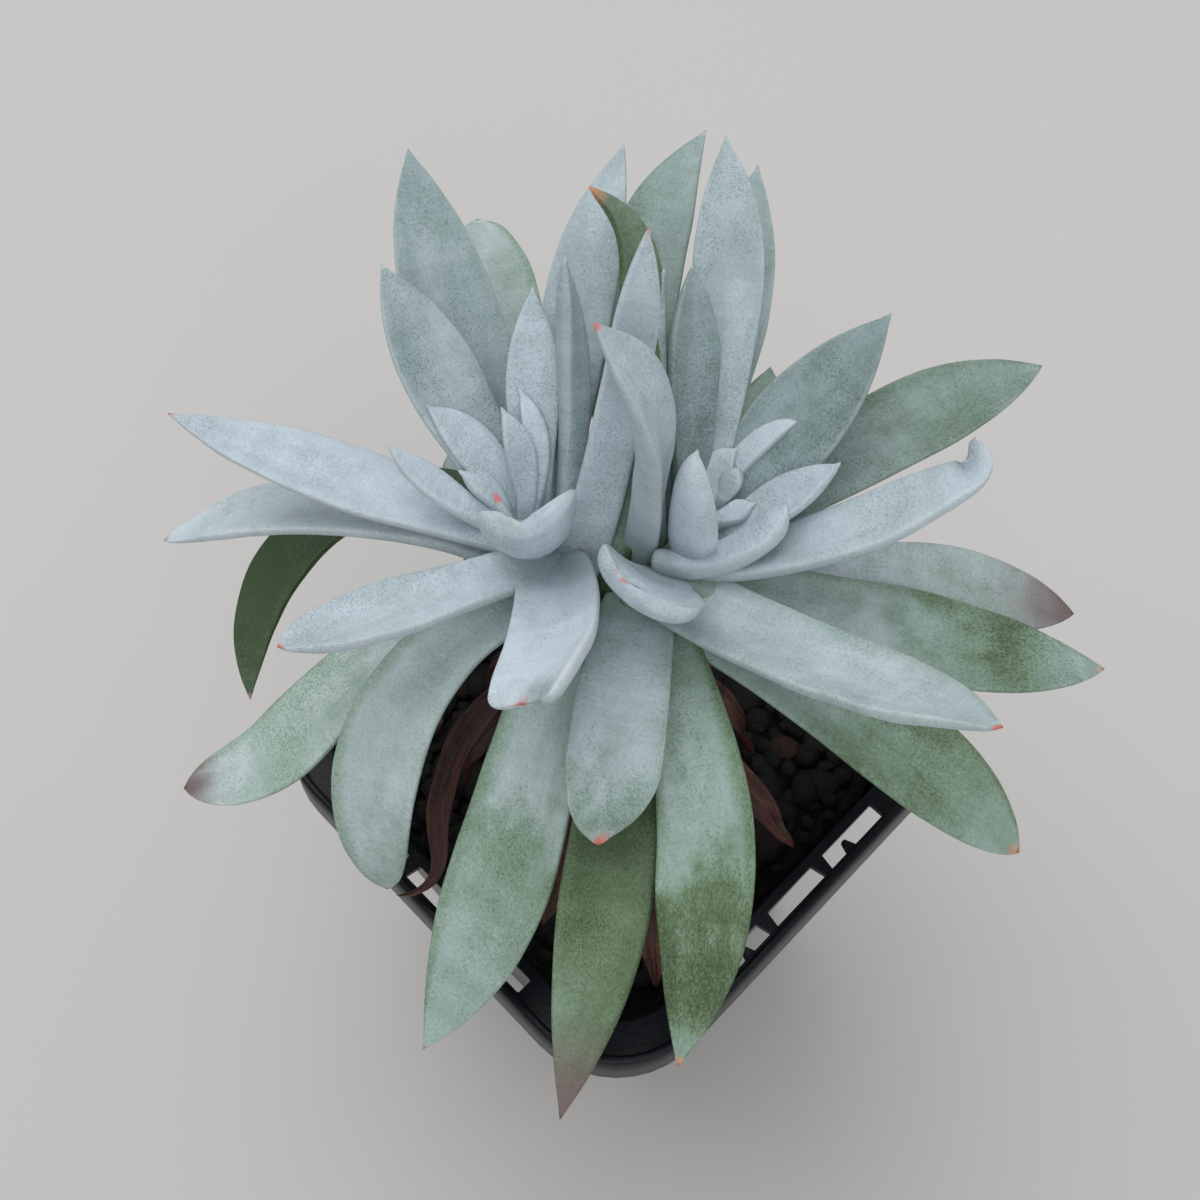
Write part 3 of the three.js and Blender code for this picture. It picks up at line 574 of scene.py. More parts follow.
# One row per leaf, L on the left head and R on the right one. Lengths are in millimetres.
# at: place up the branch, or foot: a point of its own, and out: how far from it the leaf starts.
# az: heading at the root and at the tip. el: climb at root and tip, k: how late it changes.
# roll lifts the left edge. hook bends the end up, hookAz sideways, from hookAt on.
# across: greatest width, reached at wide of the length. base: width at the root against it.
# p and q: how blunt the end is. cup, keel, fat, full: hollow, ridge below, thickness, margin.
# notch: how far the middle of the end stays back, off: how far it lies from the middle.
# sink: depth of the root in the branch. mucro: length of the point. spur: length of a nib on the end.
# tone: how thick the powder is, how green the leaf, how bare its green part, where that starts.
# tip: colour and size of the tip, pale and small where a row has none. fade: how near it green thins out.
leafRows = [
    dict(name="L01", at=0.85, az=(161, 158), el=(2, 6), long=43.5, across=9, roll=(0, 5), wide=0.5,
         tone=(0.84, 0.05, 0.1, 0.9), tip=("red", 1.3)),
    dict(name="L02", at=0.45, az=(153, 185), el=(10, -28), long=51.5, across=9.5, roll=(10, 17),
         wide=0.65, q=0.7, tone=(1, 0.4, 0.1, 0.8), tip=("pink", 2)),
    dict(name="L03", at=0.3, az=(121, 264), el=(13, -62), long=65.5, across=8.4, roll=(15, -6), wide=0.62,
         tone=(0.24, 0.9, 0.3, 0.1), tip=("pink", 1.5)),
    dict(name="L04", at=0.75, az=(212, 206), el=(13, 10), long=28.5, across=9, roll=(-5, 30), wide=0.67,
         p=2.6, q=0.6, tone=(0.84, 0.15, 0.1, 0.8), tip=("red", 1.5)),
    dict(name="L05", at=0.3, az=(182, 244), el=(-4, -44), long=51, across=10.4, roll=(14, 0), wide=0.72,
         q=0.55, hook=38, hookAt=0.6, hookAz=-52, tone=(0.9, 0.85, 0.24, 0.4), tip=("purple", 7)),
    dict(name="L06", at=0.4, az=(200, 283), el=(12, -86), long=49.5, across=11, roll=(-5, 15), wide=0.55,
         q=0.7, fade=3, tone=(0.76, 0.6, 0.34, 0.84), tip=("orange", 1)),
    dict(name="L07", at=0.6, az=(268, 230), el=(-15, -42), long=56, across=13, roll=(30, -7), wide=0.55,
         k=0.5, fade=34, sink=2.5, tone=(0.69, 0.65, 0.34, 0.44), tip=("pink", 1.8)),
    dict(name="L08", at=0.74, az=(280, 247), el=(26, 30), long=24, across=11.5, roll=(0, 50), wide=0.8,
         base=0.8, p=6, q=0.35, hook=-30, hookAt=0.65, full=0.7, notch=2, off=-0.25, fade=3,
         tone=(0.95, 0.1, 0.4, 0.9), tip=("red", 2)),
    dict(name="L09", at=1, out=1.6, az=(290, 240), el=(44, 92), long=13, across=10.8, roll=(0, 42),
         wide=0.75, base=0.85, p=4, q=0.5, cup=0.26, fat=1.15, full=0.62, notch=2.2, off=-0.3,
         tone=(0.77, 0.05, 0, 1), tip=("pale", 0.5), spur=3.5),
    dict(name="L10", at=0.95, az=(165, 151), el=(26, 41), long=15.5, across=3.8, roll=(0, 5),
         tone=(0.86, 0.1, 0, 1)),
    dict(name="L11", at=0.95, az=(124, 158), el=(42, 33), long=15.5, across=5.5, roll=(0, 6),
         tone=(0.84, 0.1, 0, 1)),
    dict(name="L12", at=0.85, az=(128, 122), el=(36, 33), long=32.5, across=9.2, roll=(0, 4),
         tone=(0.6, 0.15, 0.1, 0.8)),
    dict(name="L13", at=0.55, az=(121, 103), el=(30, 22), long=51, across=11,
         tone=(0.55, 0.15, 0.1, 0.8)),
    dict(name="L14", at=0.25, az=(109, 101), el=(26, -13), long=57, across=10.5, wide=0.7, p=2.5, q=0.65,
         tone=(0.84, 0.7, 0.12, 0.4)),
    dict(name="L15", at=0.75, az=(85, 68), el=(44, 32), long=43.5, across=8.8, roll=(-7, -14), wide=0.6,
         tone=(0.74, 0.15, 0.1, 0.8)),
    dict(name="L16", at=0.95, az=(89, 90), el=(49, 45), long=24.3, across=6.2, tone=(0.8, 0.1, 0, 1)),
    dict(name="L17", at=1.05, out=2.4, az=(68, 125), el=(52, 35), long=13.5, across=3,
         tone=(0.84, 0.1, 0, 1)),
    dict(name="L18", at=1.05, out=1.8, az=(84, 132), el=(60, 44), long=12, across=3.4, roll=(0, 3),
         tone=(0.84, 0.1, 0, 1)),
    dict(name="L19", at=0.8, az=(64, 110), el=(58, 65), long=31, across=3.5, roll=(45, 48), keel=0.5,
         tone=(0.66, 0.15, 0, 1)),
    dict(name="L20", at=0.6, az=(49, 73), el=(68, 72), long=40, across=5.2, roll=(42, 33), wide=0.68,
         base=1.15, keel=0.55, tone=(0.88, 0.12, 0.1, 0.6), tip=("red", 1.8)),
    dict(name="L21", at=0.5, out=5, az=(52, 110), el=(60, 50), long=43.5, across=5.2, p=2.4, q=0.8,
         hook=-13, hookAz=60, tone=(0.38, 0.8, 0.2, 0.2), tip=("orange", 3)),
    dict(name="L22", at=1, az=(140, 165), el=(60, 20), long=7, across=3, tone=(0.86, 0.1, 0, 1)),
    dict(name="L23", at=0.15, az=(126, 120), el=(0, -35), long=36, across=9, tone=(0.6, 0.6, 0, 1)),
    dict(name="R01", at=0.62, az=(256, 241), el=(53, 55), long=15, across=12.6, roll=(-6, -12), wide=0.8,
         base=0.5, p=5, q=0.4, cup=0.13, fat=1.7, full=0.58, notch=0.8, off=-0.4, mucro=0.4,
         tone=(0.7, 0.05, 0, 1), tip=("red", 0.9)),
    dict(name="R02", at=0.35, az=(262, 259), el=(20, -12), long=29.5, across=10.7, roll=(8, -26),
         wide=0.7, base=0.85, q=0.8, hook=-46, fade=4, tone=(0.74, 0.4, 0.36, 0.82), tip=("red", 2)),
    dict(name="R03", at=0.35, az=(291, 253), el=(0, -35), long=51, across=11, roll=(4, -16), fade=9,
         tone=(0.58, 0.75, 0.6, 0.6), tip=("orange", 1.6)),
    # R04's thin powder is partly its own green and partly painted shade from R02 lying over it
    dict(name="R04", at=0.2, az=(270, 253), el=(-2, -32), long=54.5, across=10.3, roll=(-10, 3),
         wide=0.54, fade=46, tone=(0.4, 0.9, 0.6, 0.1), tip=("purple", 14)),
    dict(name="R05", at=0.5, az=(310, 327), el=(23, 25), long=42, across=11.2, roll=(9, -35), wide=0.74,
         base=0.8, q=0.8, tone=(0.8, 0.42, 0.14, 0.8), tip=("red", 1.5)),
    dict(name="R06", at=0.3, az=(327, 332), el=(9, -42), long=51.5, across=11.2, roll=(7, 13), wide=0.65,
         q=0.7, tone=(0.62, 0.7, 0.35, 0.45), tip=("orange", 2.6), fade=18),
    dict(name="R07", at=0.65, az=(333, 365), el=(0, -16), long=48.5, across=11.4, roll=(5, 3), wide=0.54,
         q=0.8, tone=(0.62, 0.5, 0.5, 0.5), tip=("pink", 2)),
    dict(name="R08", at=0.3, az=(2, 2), el=(9, -26), long=51.5, across=11, roll=(5, 12), wide=0.63,
         q=0.75, tone=(0.9, 0.5, 0.26, 0.5), tip=("purple", 16)),
    dict(name="R09", at=0.65, az=(345, 375), el=(29, 42), long=37.5, across=8.1, roll=(0, -16), hook=30,
         hookAt=0.83, hookAz=200, tone=(0.8, 0.15, 0.1, 0.9), tip=("pink", 1.2)),
    dict(name="R10", at=0.55, az=(27, 23), el=(26, 2), long=47, across=10.4, roll=(9, 5), wide=0.63,
         q=0.8, tone=(0.46, 0.42, 0.2, 0.6), tip=("pink", 0.8)),
    dict(name="R11", at=0.75, az=(38, 42), el=(38, 31), long=31.5, across=11, roll=(8, 5), wide=0.47,
         tone=(0.38, 0.12, 0.1, 0.6)),
    dict(name="R12", at=0.8, az=(74, 94), el=(45, 24), long=43.5, across=8.2, roll=(0, 5), wide=0.65,
         keel=0.25, tone=(0.7, 0.15, 0.1, 0.7)),
    dict(name="R13", at=0.35, az=(68, 79), el=(29, 20), long=51, across=10.3, roll=(0, 4),
         tone=(0.66, 0.35, 0.1, 0.6), tip=("red", 1.2)),
    dict(name="R14", at=0.5, az=(108, 55), el=(38, 18), long=52, across=10.2, roll=(-5, -2), wide=0.6,
         tone=(0.6, 0.45, 0.1, 0.5)),
    dict(name="R15", at=0.15, az=(50, 77), el=(8, -12), long=41, across=8.7, roll=(0, -6),
         tone=(0.5, 0.8, 0, 1)),
    dict(name="R16", at=0.85, az=(91, 93), el=(59, 53), long=27.7, across=6.5, roll=(35, 24), wide=0.64,
         keel=0.4, tone=(0.42, 0.15, 0, 1)),
    dict(name="R17", at=0.7, az=(165, 160), el=(95, 40), long=36, across=6.6, roll=(15, -16), wide=0.72,
         k=2.6, keel=0.3, tone=(0.74, 0.15, 0, 1), tip=("red", 1.3)),
    dict(name="R18", at=0.6, az=(108, 71), el=(61, 54), long=31.3, across=4.6, roll=(0, -10), wide=0.5,
         keel=0.5, tone=(0.66, 0.3, 0, 1)),
    dict(name="R20", at=1, az=(238, 225), el=(82, 92), long=17.5, across=6.2, roll=(0, -12), wide=0.15,
         base=1, p=2.6, q=0.8, tone=(0.95, 0.05, 0, 1)),
    dict(name="R21", foot=(4.9, 3.2, 105.8), out=0, az=(345, 392), el=(6, 56), long=16.2, across=4.2,
         roll=(0, -20), wide=0.6, p=3, q=0.5, cup=0, fat=1.5, sink=1.2, tone=(0.84, 0.1, 0, 1)),
    dict(name="R22", at=0.85, az=(6, 12), el=(40, 44), long=16, across=6, roll=(0, -9), wide=0.5,
         tone=(0.84, 0.1, 0, 1)),
    dict(name="R23", at=0.9, az=(61, 10), el=(46, 20), long=15, across=3, tone=(0.84, 0.1, 0, 1)),
    dict(name="R24", at=0.95, az=(79, 25), el=(53, 33), long=7, across=4, tone=(0.84, 0.1, 0, 1)),
    dict(name="R25", at=1, az=(55, 49), el=(61, 58), long=4.5, across=2.6, tone=(0.84, 0.1, 0, 1)),
    dict(name="R26", at=1, out=1.2, az=(10, 15), el=(20, 30), long=4.5, across=2.8,
         tone=(0.84, 0.1, 0, 1)),
    dict(name="L24", at=0.4, out=4.2, az=(35, 45), el=(64, 72), long=22, across=5, base=1,
         tone=(0.3, 0.7, 0, 1)),
    dict(name="R27", at=0.15, az=(48, 52), el=(0, -35), long=36, across=9, tone=(0.6, 0.6, 0, 1)),
]

# One row per withered leaf. start: its height on the stem, the rest as above.
dryRows = [
    dict(start=86, az=(188, 309), el=(-24, -16), long=40, across=4.6, roll=(20, 30), wide=0.3,
         hookAz=-138, hookAt=0.72),
    dict(start=86, az=(256, 250), el=(-22, -48), long=30, across=5, roll=(-20, -45)),
    dict(start=84, az=(282, 275), el=(-20, -44), long=36, across=5, roll=(30, 10)),
    dict(start=86, az=(318, 332), el=(-25, -50), long=31, across=5, roll=(20, -20)),
    dict(start=85, az=(20, 8), el=(-20, -82), long=27, across=6, roll=(10, 40)),
    dict(start=86, az=(75, 90), el=(-20, -84), long=28, across=6.5, roll=(0, -30)),
    dict(start=84, az=(125, 140), el=(-25, -80), long=26, across=6, roll=(-10, 25)),
    dict(start=85, az=(235, 226), el=(-30, -86), long=23, across=6, roll=(15, -35)),
    dict(start=85, az=(298, 306), el=(-28, -86), long=24, across=5.5, roll=(-15, 30)),
    dict(start=87, az=(345, 354), el=(-30, -84), long=25, across=6, roll=(5, -30)),
    dict(start=84, az=(50, 42), el=(-32, -85), long=22, across=5.5, roll=(-10, 20)),
    dict(start=84, az=(160, 172), el=(-30, -85), long=22, across=5.5, roll=(10, -25)),
    dict(start=87, az=(206, 198), el=(-24, -84), long=27, across=6, roll=(-5, 30)),
]

leafLayers = ["leafPlace", "leafForm", "leafTone", "leafTip"]


def power(value, exponent):
    return math.copysign(abs(value) ** exponent, value)


def addLeaf(bm, row, origin, number, look):
    at = midrib(row, origin, row.get("out", plantLook["rootOut"]))
    slim = look["shortThick"] if row["long"] < look["short"] else 1
    thick, cup = look["thick"] * slim * row.get("fat", 1), row.get("cup", look["cup"])
    keel, notch, seed, last = row.get("keel", 0), row.get("notch", 0), number * 7.3, look["lastStation"]
    off, fade, mucro = row.get("off", 0), row.get("fade", look["fade"]), row.get("mucro", look["mucro"])
    full = row.get("full", look["full"])
    sink, (tipName, tipSize) = row.get("sink", look["sink"]), row.get("tip", ("pale", 1))
    upper, lower = look["faces"]
    end = halfWidth(row, 0.95)
    tint = (*tipColours[tipName], tipSize / 10)
    blunt = 2.5 * max(2, row.get("p", 2))    # a blunt leaf stays thick up to its end

    def shape(verts, t, layers):
        sunk = t < 0
        t = max(t, 0)
        centre, along, side, up = at(t)
        half = halfWidth(row, t) * (look["rootWidth"] if sunk else 1)
        half = max(half, look["slimmest"] if t > 0.9 else 0)
        depth = thick * (1 - look["thinning"] * t) * min(1, math.sqrt((1 - t) * blunt))
        for vert in verts:
            angle = 2 * math.pi * vert[layers["turn"]] / look["sides"]
            c = power(math.cos(angle), full)
            s = power(math.sin(angle), full)
            height = (upper if s > 0 else lower) * depth * s + 2 * cup * half * c * c
            if s < 0:
                height += keel * half * s * (1 - abs(c))
            else:
                height -= look["groove"] * s ** 4 * min(1, half / 3) * ease(t * 3)
            uneven = look["wave"] * min(1, half / 3) * ease(t * 2.5)
            spot = (half * c * 1.2, row["long"] * t, seed)
            height += uneven * (wobble(spot, 8, number) + 0.35 * wobble(spot, 3, number + 3))
            across = half * c * (1 + 0.04 * wobble((0, row["long"] * t, 5 * c), 7, seed))
            back = sink if sunk else notch * max(0, 1 - abs(c - off)) ** 1.5 * ease(t * 2 - 1)
            vert.co = (centre + side * across + up * height - along * back) * mm
            vert[layers["leafPlace"]] = (across - off * end, row["long"] * (1 - t) + mucro, seed)
            vert[layers["leafForm"]] = (t, c, fade)
            vert[layers["leafTone"]] = row["tone"]
            vert[layers["leafTip"]] = tint

    steps = [last * (1 - (1 - i / look["stations"]) ** 1.5) for i in range(look["stations"] + 1)]
    centre, along, side, up = at(1)
    point = centre + side * off * end + (along + up * 0.35) * mucro - along * notch
    growSkin(bm, look["sides"], [-1] + steps, shape, leafLayers, point * mm,
             {"leafPlace": (0, 0, seed), "leafForm": (1, 0, fade)})
    if "spur" in row:
        centre, along, side, up = at(look["spurAt"])
        foot = centre + side * (off * end - look["spurAside"]) - along * notch
        lean = along * 0.8 + up - side * 0.3
        spurTip = (*tipColours["red"], look["spurTip"])
        addTube(bm, look["spurSides"], [0, 0.3, 0.55, 0.75, 0.9, 1],
                lambda u: foot + lean * (u * row["spur"]),
                lambda u: look["spurThick"] * (1.04 - u) ** 0.6,
                lambda u: {"leafPlace": (0, row["spur"] * (1 - u), seed), "leafForm": (0.5, 0, fade),
                           "leafTone": look["spurTone"], "leafTip": spurTip})


def addTube(bm, sides, levels, axisAt, radiusAt, valuesAt=lambda level: {}):    # an upright closed rod
    def shape(verts, level, layers):
        centre, radius = Vector(axisAt(level)), radiusAt(level)
        for vert in verts:
            angle = 2 * math.pi * vert[layers["turn"]] / sides
            out = Vector((math.cos(angle), math.sin(angle), 0))
            vert.co = (centre + out * radius) * mm
            for name, value in valuesAt(level).items():
                vert[layers[name]] = value

    growSkin(bm, sides, levels, shape, valuesAt(levels[0]))


def makeRosette(name, head, replaced, look):
    bm = bmesh.new()
    core = plantLook["heads"][head]
    foot, tip = Vector(core["foot"]), Vector(core["tip"])
    values = {
        "leafPlace": (0, 30, 3),
        "leafForm": (0.1, 0, look["fade"]),
        "leafTone": look["coreTone"],
        "leafTip": look["coreTip"],
    }
    radius = dict(look["coreRadii"])
    addTube(bm, look["coreSides"], list(radius), lambda u: foot.lerp(tip, u), radius.get, lambda u: values)
    fork = Vector(plantLook["fork"])
    for number, row in enumerate(leafRows):
        if row["name"][0] == head[0].upper():
            addLeaf(bm, row, row.get("foot", fork.lerp(tip, row.get("at", 0))), number, look)
    turnToPot(bm)
    piece = newPiece(name, bm, materials["leaf"], replaced)
    soften(piece)
    print(name, "has its leaves")


makeRosette("leftRosette", "left", ["left_rosette"], leafLook)
makeRosette("rightRosette", "right", ["right_rosette"], leafLook)


# Stem and the withered skirt
def stemAxis(z):
    t = max(0, (z - plantLook["soilTop"]) / (plantLook["stemTop"] - plantLook["soilTop"]))
    return (plantLook["stemLean"][0] * t, plantLook["stemLean"][1] * t, z)


def stemRadius(z):
    low, high = plantLook["stemBottom"], plantLook["stemTop"]
    return mix(*plantLook["stemRadii"], (z - low) / (high - low))


def makeStem(look):
    bm = bmesh.new()
    low, high = plantLook["stemBottom"], plantLook["stemTop"]
    levels = [mix(low, high, i / look["steps"]) for i in range(look["steps"] + 1)]
    deep, often = look["scars"]

    def radiusAt(z):
        scar = deep * math.sin(z * often) + look["rough"] * wobble((0, 0, z), 1.3)
        return stemRadius(z) - look["inset"] + scar

    addTube(bm, look["sides"], levels, stemAxis, radiusAt)
    turnToPot(bm)
    newPiece("shortStem", bm, materials["stem"], ["stem"])
    print("the stem stands")


def addDryLeaf(bm, row, number, look):
    at = midrib(row, stemAxis(row["start"]), stemRadius(row["start"]) + look["rootOut"])

    def shape(verts, t, layers):
        sunk = t < 0
        t = max(t, 0)
        centre, along, side, up = at(t)
        half = halfWidth(row, t) * (look["rootWidth"] if sunk else 1)
        depth = look["thick"] * (1 - look["thinning"] * t) * min(1, math.sqrt((1 - t) * 5))
        for vert in verts:
            angle = 2 * math.pi * vert[layers["turn"]] / look["sides"]
            c, s = math.cos(angle), math.sin(angle)
            crease = look["wrinkle"] * wobble((half * c * 2.2, row["long"] * t * 0.35, number * 5), 1.6)
            crease += look["wrinkle"] * 0.8 * wobble((half * c, row["long"] * t, number * 5), 4)
            height = 0.5 * depth * s + 2 * look["cup"] * half * c * c + crease * ease(t * 4)
            across = half * c * (1 + 0.14 * wobble((0, row["long"] * t, 3 * c + number), 5))
            vert.co = (centre + side * across + up * height - along * (look["sink"] if sunk else 0)) * mm
            vert[layers["leafPlace"]] = (across, row["long"] * (1 - t), number * 9.0)

    steps = [i / look["stations"] for i in range(look["stations"])] + [look["lastStation"]]
    growSkin(bm, look["sides"], [-1] + steps, shape, ["leafPlace"], at(1)[0] * mm)


def makeDrySkirt(look):
    bm = bmesh.new()
    low, high = look["sleeve"]
    steps = look["sleeveSteps"]
    levels = [mix(low, high, i / steps) for i in range(steps + 1)]
    addTube(bm, look["sleeveSides"], levels, stemAxis,
            lambda z: stemRadius(z) + look["sleeveThick"] + look["sleeveRough"] * wobble((0, 0, z), 1.1),
            lambda z: {"leafPlace": (2, 8, 1)})
    for number, row in enumerate(dryRows):
        addDryLeaf(bm, row, number + 1, look)
    turnToPot(bm)
    piece = newPiece("drySkirt", bm, materials["dry"], ["dry_leaves"])
    soften(piece)
    print("the withered leaves hang")


makeStem(stemLook)
makeDrySkirt(dryLook)


# Pot and potting mix
def roundedSquare(turn, half, corner, steps):    # a point on a rounded square, counted from one corner
    quarter, step = divmod(turn, steps + 1)
    angle = math.radians(90 * quarter + 90 * step / steps)
    middle = math.radians(90 * quarter + 45)
    reach = (half - corner) * math.sqrt(2)
    return Vector((reach * math.cos(middle) + corner * math.cos(angle),
                   reach * math.sin(middle) + corner * math.sin(angle), 0))


def wallAt(look, z, inset):    # half width and corner radius of the pot's wall at a height
    t = z / look["wallTop"]
    half = mix(look["baseHalf"], look["wallTopHalf"], t)
    return half - inset, mix(look["baseRound"], look["wallTopRound"], t) - inset


def addBlock(bm, corners, low, high):    # a low prism on four corners
    start = [bm.verts.new((x * mm, y * mm, low * mm)) for x, y in corners]
    face = bm.faces.new(start)
    grown = bmesh.ops.extrude_face_region(bm, geom=[face])["geom"]
    top = [item for item in grown if isinstance(item, bmesh.types.BMVert)]
    bmesh.ops.translate(bm, verts=top, vec=(0, 0, (high - low) * mm))
    return start + top


def addQuarters(bm, corners, low, high):
    for quarter in range(4):
        verts = addBlock(bm, corners, low, high)
        bmesh.ops.rotate(bm, verts=verts, matrix=Matrix.Rotation(math.radians(90 * quarter), 3, "Z"))


def makePot(look):
    steps = look["cornerSteps"]
    sides = 4 * (steps + 1)
    shelfTop, bandBottom, lip = look["shelfTop"], look["bandBottom"], look["lip"]
    shelfBottom = shelfTop - look["shelfThick"]
    rise = look["bandHalf"] - look["bandTopHalf"]

    def wall(inset, z):
        return (*wallAt(look, z, inset), z)

    def band(inset, z):
        return (look["bandHalf"] - inset, look["bandRound"] - inset, z)

    rings = [
        wall(0.5, 0), wall(0, 0.5), wall(0, look["middle"]), wall(0, shelfBottom),
        band(look["band"], shelfBottom), band(look["band"], bandBottom),
        band(0.2, bandBottom), band(0, bandBottom + lip),
        band(rise - 0.05, look["height"] - lip), band(rise + 0.2, look["height"]),
        band(look["band"] + rise - 0.2, look["height"]), band(look["band"] + rise, look["height"] - lip),
        band(look["band"] + rise, shelfTop),
        wall(look["wall"] - lip, shelfTop), wall(look["wall"], shelfTop - lip),
        wall(look["wall"], look["middle"]), wall(look["wall"], look["floor"]),
    ]
    bm = bmesh.new()

    def shape(verts, ring, layers):
        half, corner, z = ring
        for vert in verts:
            vert.co = (roundedSquare(vert[layers["turn"]], half, corner, steps) + Vector((0, 0, z))) * mm

    growSkin(bm, sides, rings, shape)
    piece = newPiece("slottedPot", bm, materials["pot"], ["pot"])

    holes = bmesh.new()
    inner, outer = look["slot"]
    reach = look["slotHalf"]
    addQuarters(holes, [(-reach, inner), (reach, inner), (reach, outer), (-reach, outer)], *look["cut"])
    for i in range(8):
        angle = math.radians(45 * i)
        far = look["drain"] * (math.sqrt(2) if i % 2 else 1)
        spot = Matrix.Translation(Vector((far * math.cos(angle), far * math.sin(angle), 1)) * mm)
        radius = look["drainRadii"][0 if i % 2 else 1] * mm
        bmesh.ops.create_cone(holes, cap_ends=True, segments=24, radius1=radius, radius2=radius,
                              depth=look["drainDepth"] * mm, matrix=spot)
    bmesh.ops.recalc_face_normals(holes, faces=holes.faces[:])
    cutter = addObject("potHoles", meshOf("potHoles", holes))
    cut = piece.modifiers.new("holes", "BOOLEAN")
    cut.object = cutter
    cut.solver = "EXACT"
    bpy.context.view_layer.update()
    cutOut = bpy.data.meshes.new_from_object(piece.evaluated_get(bpy.context.evaluated_depsgraph_get()))
    piece.modifiers.clear()
    bpy.data.objects.remove(cutter)
    bm = bmesh.new()
    bm.from_mesh(cutOut)
    bite = look["bite"]
    ribs = [(look["bridge"], look["bridgeHalf"], inner - bite),
            (look["nub"], look["nubHalf"], outer - look["nubReach"])]
    for side in (-1, 1):
        for place, (near, far), start in ribs:
            x, end = place * side, outer + bite
            addQuarters(bm, [(x - near, start), (x + near, start), (x + far, end), (x - far, end)],
                        shelfBottom + 0.02, shelfTop - 0.02)
    bmesh.ops.recalc_face_normals(bm, faces=bm.faces[:])
    bm.to_mesh(piece.data)
    bm.free()
    piece.data.set_sharp_from_angle(angle=math.radians(look["sharp"]))
    edge = piece.modifiers.new("edge", "BEVEL")
    edge.width = look["edge"] * mm
    edge.segments = 2
    edge.limit_method = "ANGLE"
    edge.angle_limit = math.radians(look["edgeFrom"])
    print("the pot is moulded and slotted")


def makeSoil(look):
    bm = bmesh.new()
    top, inset, steps, count = look["top"], look["inset"], look["cornerSteps"], look["rings"]
    sides = 4 * (steps + 1)
    rings = [(look["low"], 1), (30, 1), (top - 4, 1), (top - 1, 1)]
    rings += [(top, 1 - i / count) for i in range(count)]

    def shape(verts, ring, layers):
        z, share = ring
        half, corner = wallAt(potLook, z, inset)
        for vert in verts:
            spot = roundedSquare(vert[layers["turn"]], half, corner, steps) * share
            rough = 0
            if z == top:
                rough = wobble((spot.x, spot.y, 0), 7) + 0.6 * wobble((spot.x, spot.y, 4), 2.2)
                rough = look["lump"] * rough - look["settle"]
            vert.co = Vector((spot.x, spot.y, z + rough)) * mm
            vert[layers["grainTone"]] = 0.3 + 0.3 * wobble((spot.x, spot.y, 9), 2.5)

    growSkin(bm, sides, rings, shape, ["grainTone"], Vector((0, 0, top - look["settle"])) * mm)
    dice = random.Random(look["seed"])
    low, high = look["stoneSizes"]
    limit = wallAt(potLook, top, inset)[0]
    golden = math.pi * (3 - math.sqrt(5))
    for i in range(look["stones"]):
        size = low + (high - low) * dice.random() ** 2.6
        reach = math.sqrt((i + 0.5) / look["stones"])
        direction = Vector((math.cos(i * golden), math.sin(i * golden), 0))
        square = 1 / max(abs(direction.x), abs(direction.y))
        spot = direction * (min(square, 1.25) * reach * (limit - size * 1.05))
        spot.z = top - 0.5 + 1.1 * dice.random()
        turned = Matrix.Rotation(dice.uniform(0, 6.3), 4, "Z")
        turned = turned @ Matrix.Rotation(dice.uniform(-0.6, 0.6), 4, "X")
        flat = Matrix.Diagonal((1, dice.uniform(0.65, 1), dice.uniform(0.45, 0.8), 1))
        matrix = Matrix.Translation(spot * mm) @ turned @ flat
        stone = bmesh.new()
        tone = addLayers(stone, ["grainTone"])["grainTone"]
        bmesh.ops.create_uvsphere(stone, u_segments=8, v_segments=6, radius=size * mm, matrix=matrix)
        shade = dice.random() ** 1.5
        for vert in stone.verts:
            away = vert.co - spot * mm
            vert.co += away * look["stoneRough"] * wobble(vert.co / mm, size * 0.9, i)
            vert.co.z = min(vert.co.z, look["stoneLimit"] * mm)
            vert[tone] = shade
        joinTo(bm, stone)
    newPiece("pottingMix", bm, materials["soil"], ["soil"])
    print("the potting mix is filled in")


makePot(potLook)
makeSoil(soilLook)

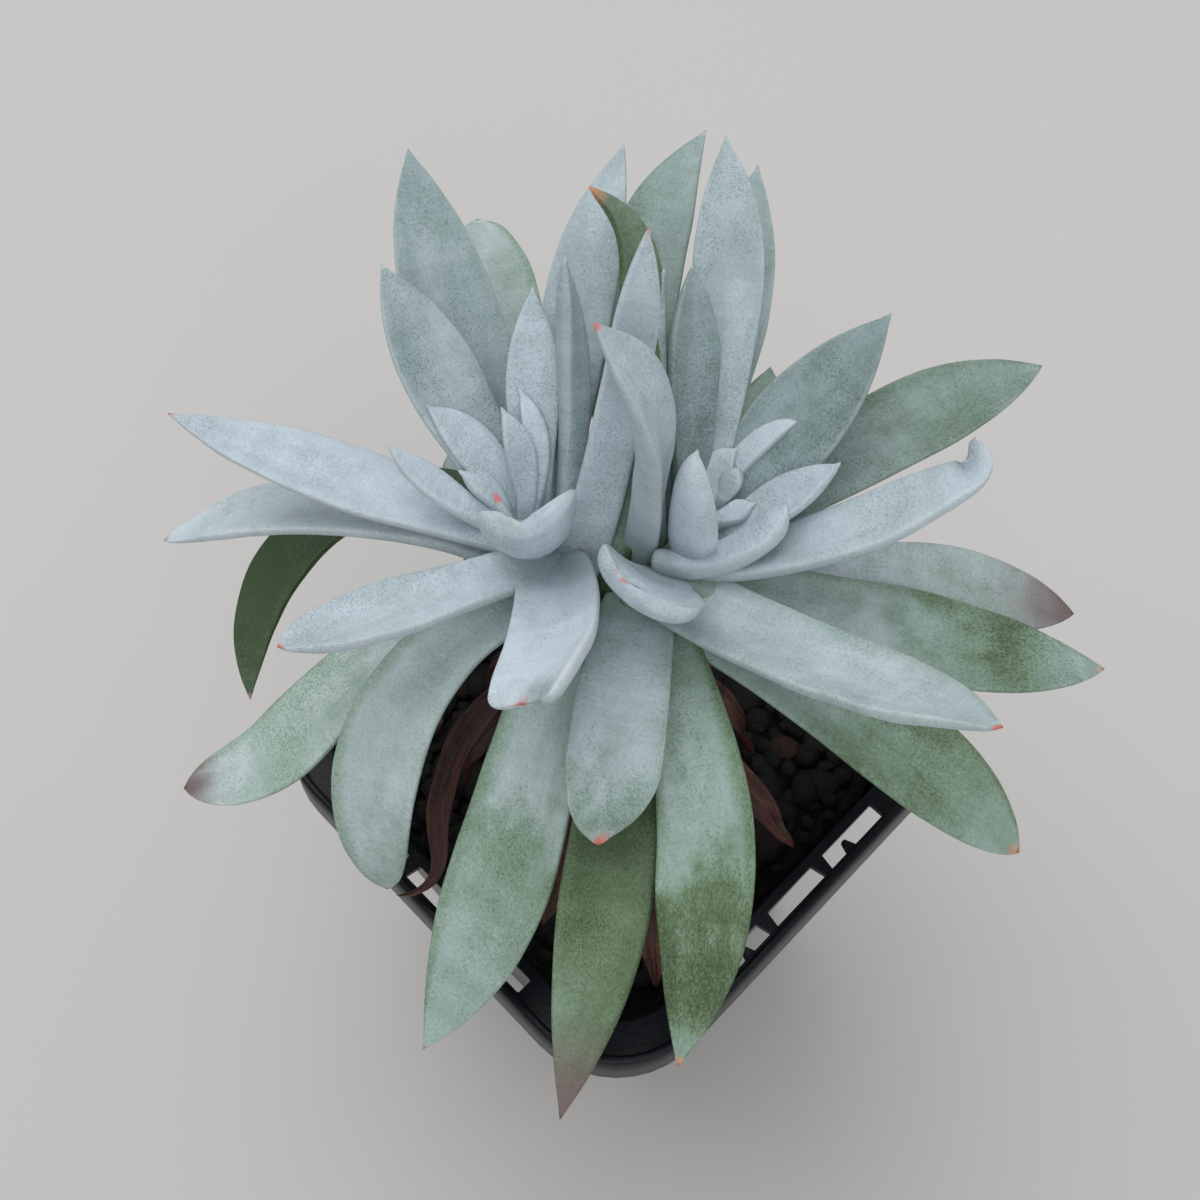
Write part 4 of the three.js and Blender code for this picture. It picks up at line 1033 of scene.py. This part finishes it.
# Stage, light and camera
stageLook = {
    "floor": (0.558, 0.545, 0.530),
    "floorPaintedShade": (0.500, 0.490, 0.477),    # painted shade: the floor darkens towards the viewer, as light falls off there
    "floorShade": (-0.16, 0.14),    # where the painted shade grades in, from front to back, in metres
    "floorPatches": 0.08,
    "floorSize": 2.4,
    "sky": (0.97, 0.985, 1.0),
    "skyStrength": 0.54,
    "lamps": {    # place and aim in metres, in the picture's directions
        "window": {"place": (-0.32, 0.46, 1.5), "aim": (0, 0.05, 0.05), "size": 1.5, "power": 11.8},
        "frontFill": {"place": (0.15, -0.90, 0.80), "aim": (0, -0.05, 0.05), "size": 1.4, "power": 4.8},
    },
}
cameraLook = {
    "aim": (-2.0, 20.1, 70),    # millimetres, in the picture's directions
    "distance": 185.4,
    "elevation": 58.4,
    "lens": 39,
}


def makeFloor(look):
    bm = bmesh.new()
    bmesh.ops.create_grid(bm, x_segments=1, y_segments=1, size=look["floorSize"] / 2)
    floor = addObject("floor", meshOf("floor", bm))
    floor.data.materials.append(floorMaterial(look))


def makeLamp(name, look):
    lamp = bpy.data.lights.new(name, "AREA")
    lamp.energy = look["power"]
    lamp.shape = "DISK"
    lamp.size = look["size"]
    holder = addObject(name, lamp)
    place = squareUp @ Vector(look["place"])
    holder.location = place
    holder.rotation_euler = (squareUp @ Vector(look["aim"]) - place).to_track_quat("-Z", "Y").to_euler()


def makeSky(look):
    world = bpy.data.worlds.new("softSky")
    world.use_nodes = True
    background = world.node_tree.nodes["Background"]
    background.inputs["Color"].default_value = (*look["sky"], 1)
    background.inputs["Strength"].default_value = look["skyStrength"]
    bpy.context.scene.world = world


def makeCamera(look):
    lens = bpy.data.cameras.new("pictureCamera")
    lens.lens = look["lens"]
    lens.sensor_width = 36
    lens.clip_start = 0.005
    camera = addObject("pictureCamera", lens)
    climb = math.radians(look["elevation"])
    back = Vector((0, -math.cos(climb), math.sin(climb)))
    place = (Vector(look["aim"]) + back * look["distance"]) * mm
    tilt = Matrix.Rotation(math.radians(90) - climb, 4, "X")
    camera.matrix_world = squareUp @ Matrix.Translation(place) @ tilt
    bpy.context.scene.camera = camera


makeFloor(stageLook)
for lampName, lampLook in stageLook["lamps"].items():
    makeLamp(lampName, lampLook)
makeSky(stageLook)
makeCamera(cameraLook)
bpy.context.scene.view_settings.view_transform = "Standard"
print("stage, light and camera are set")
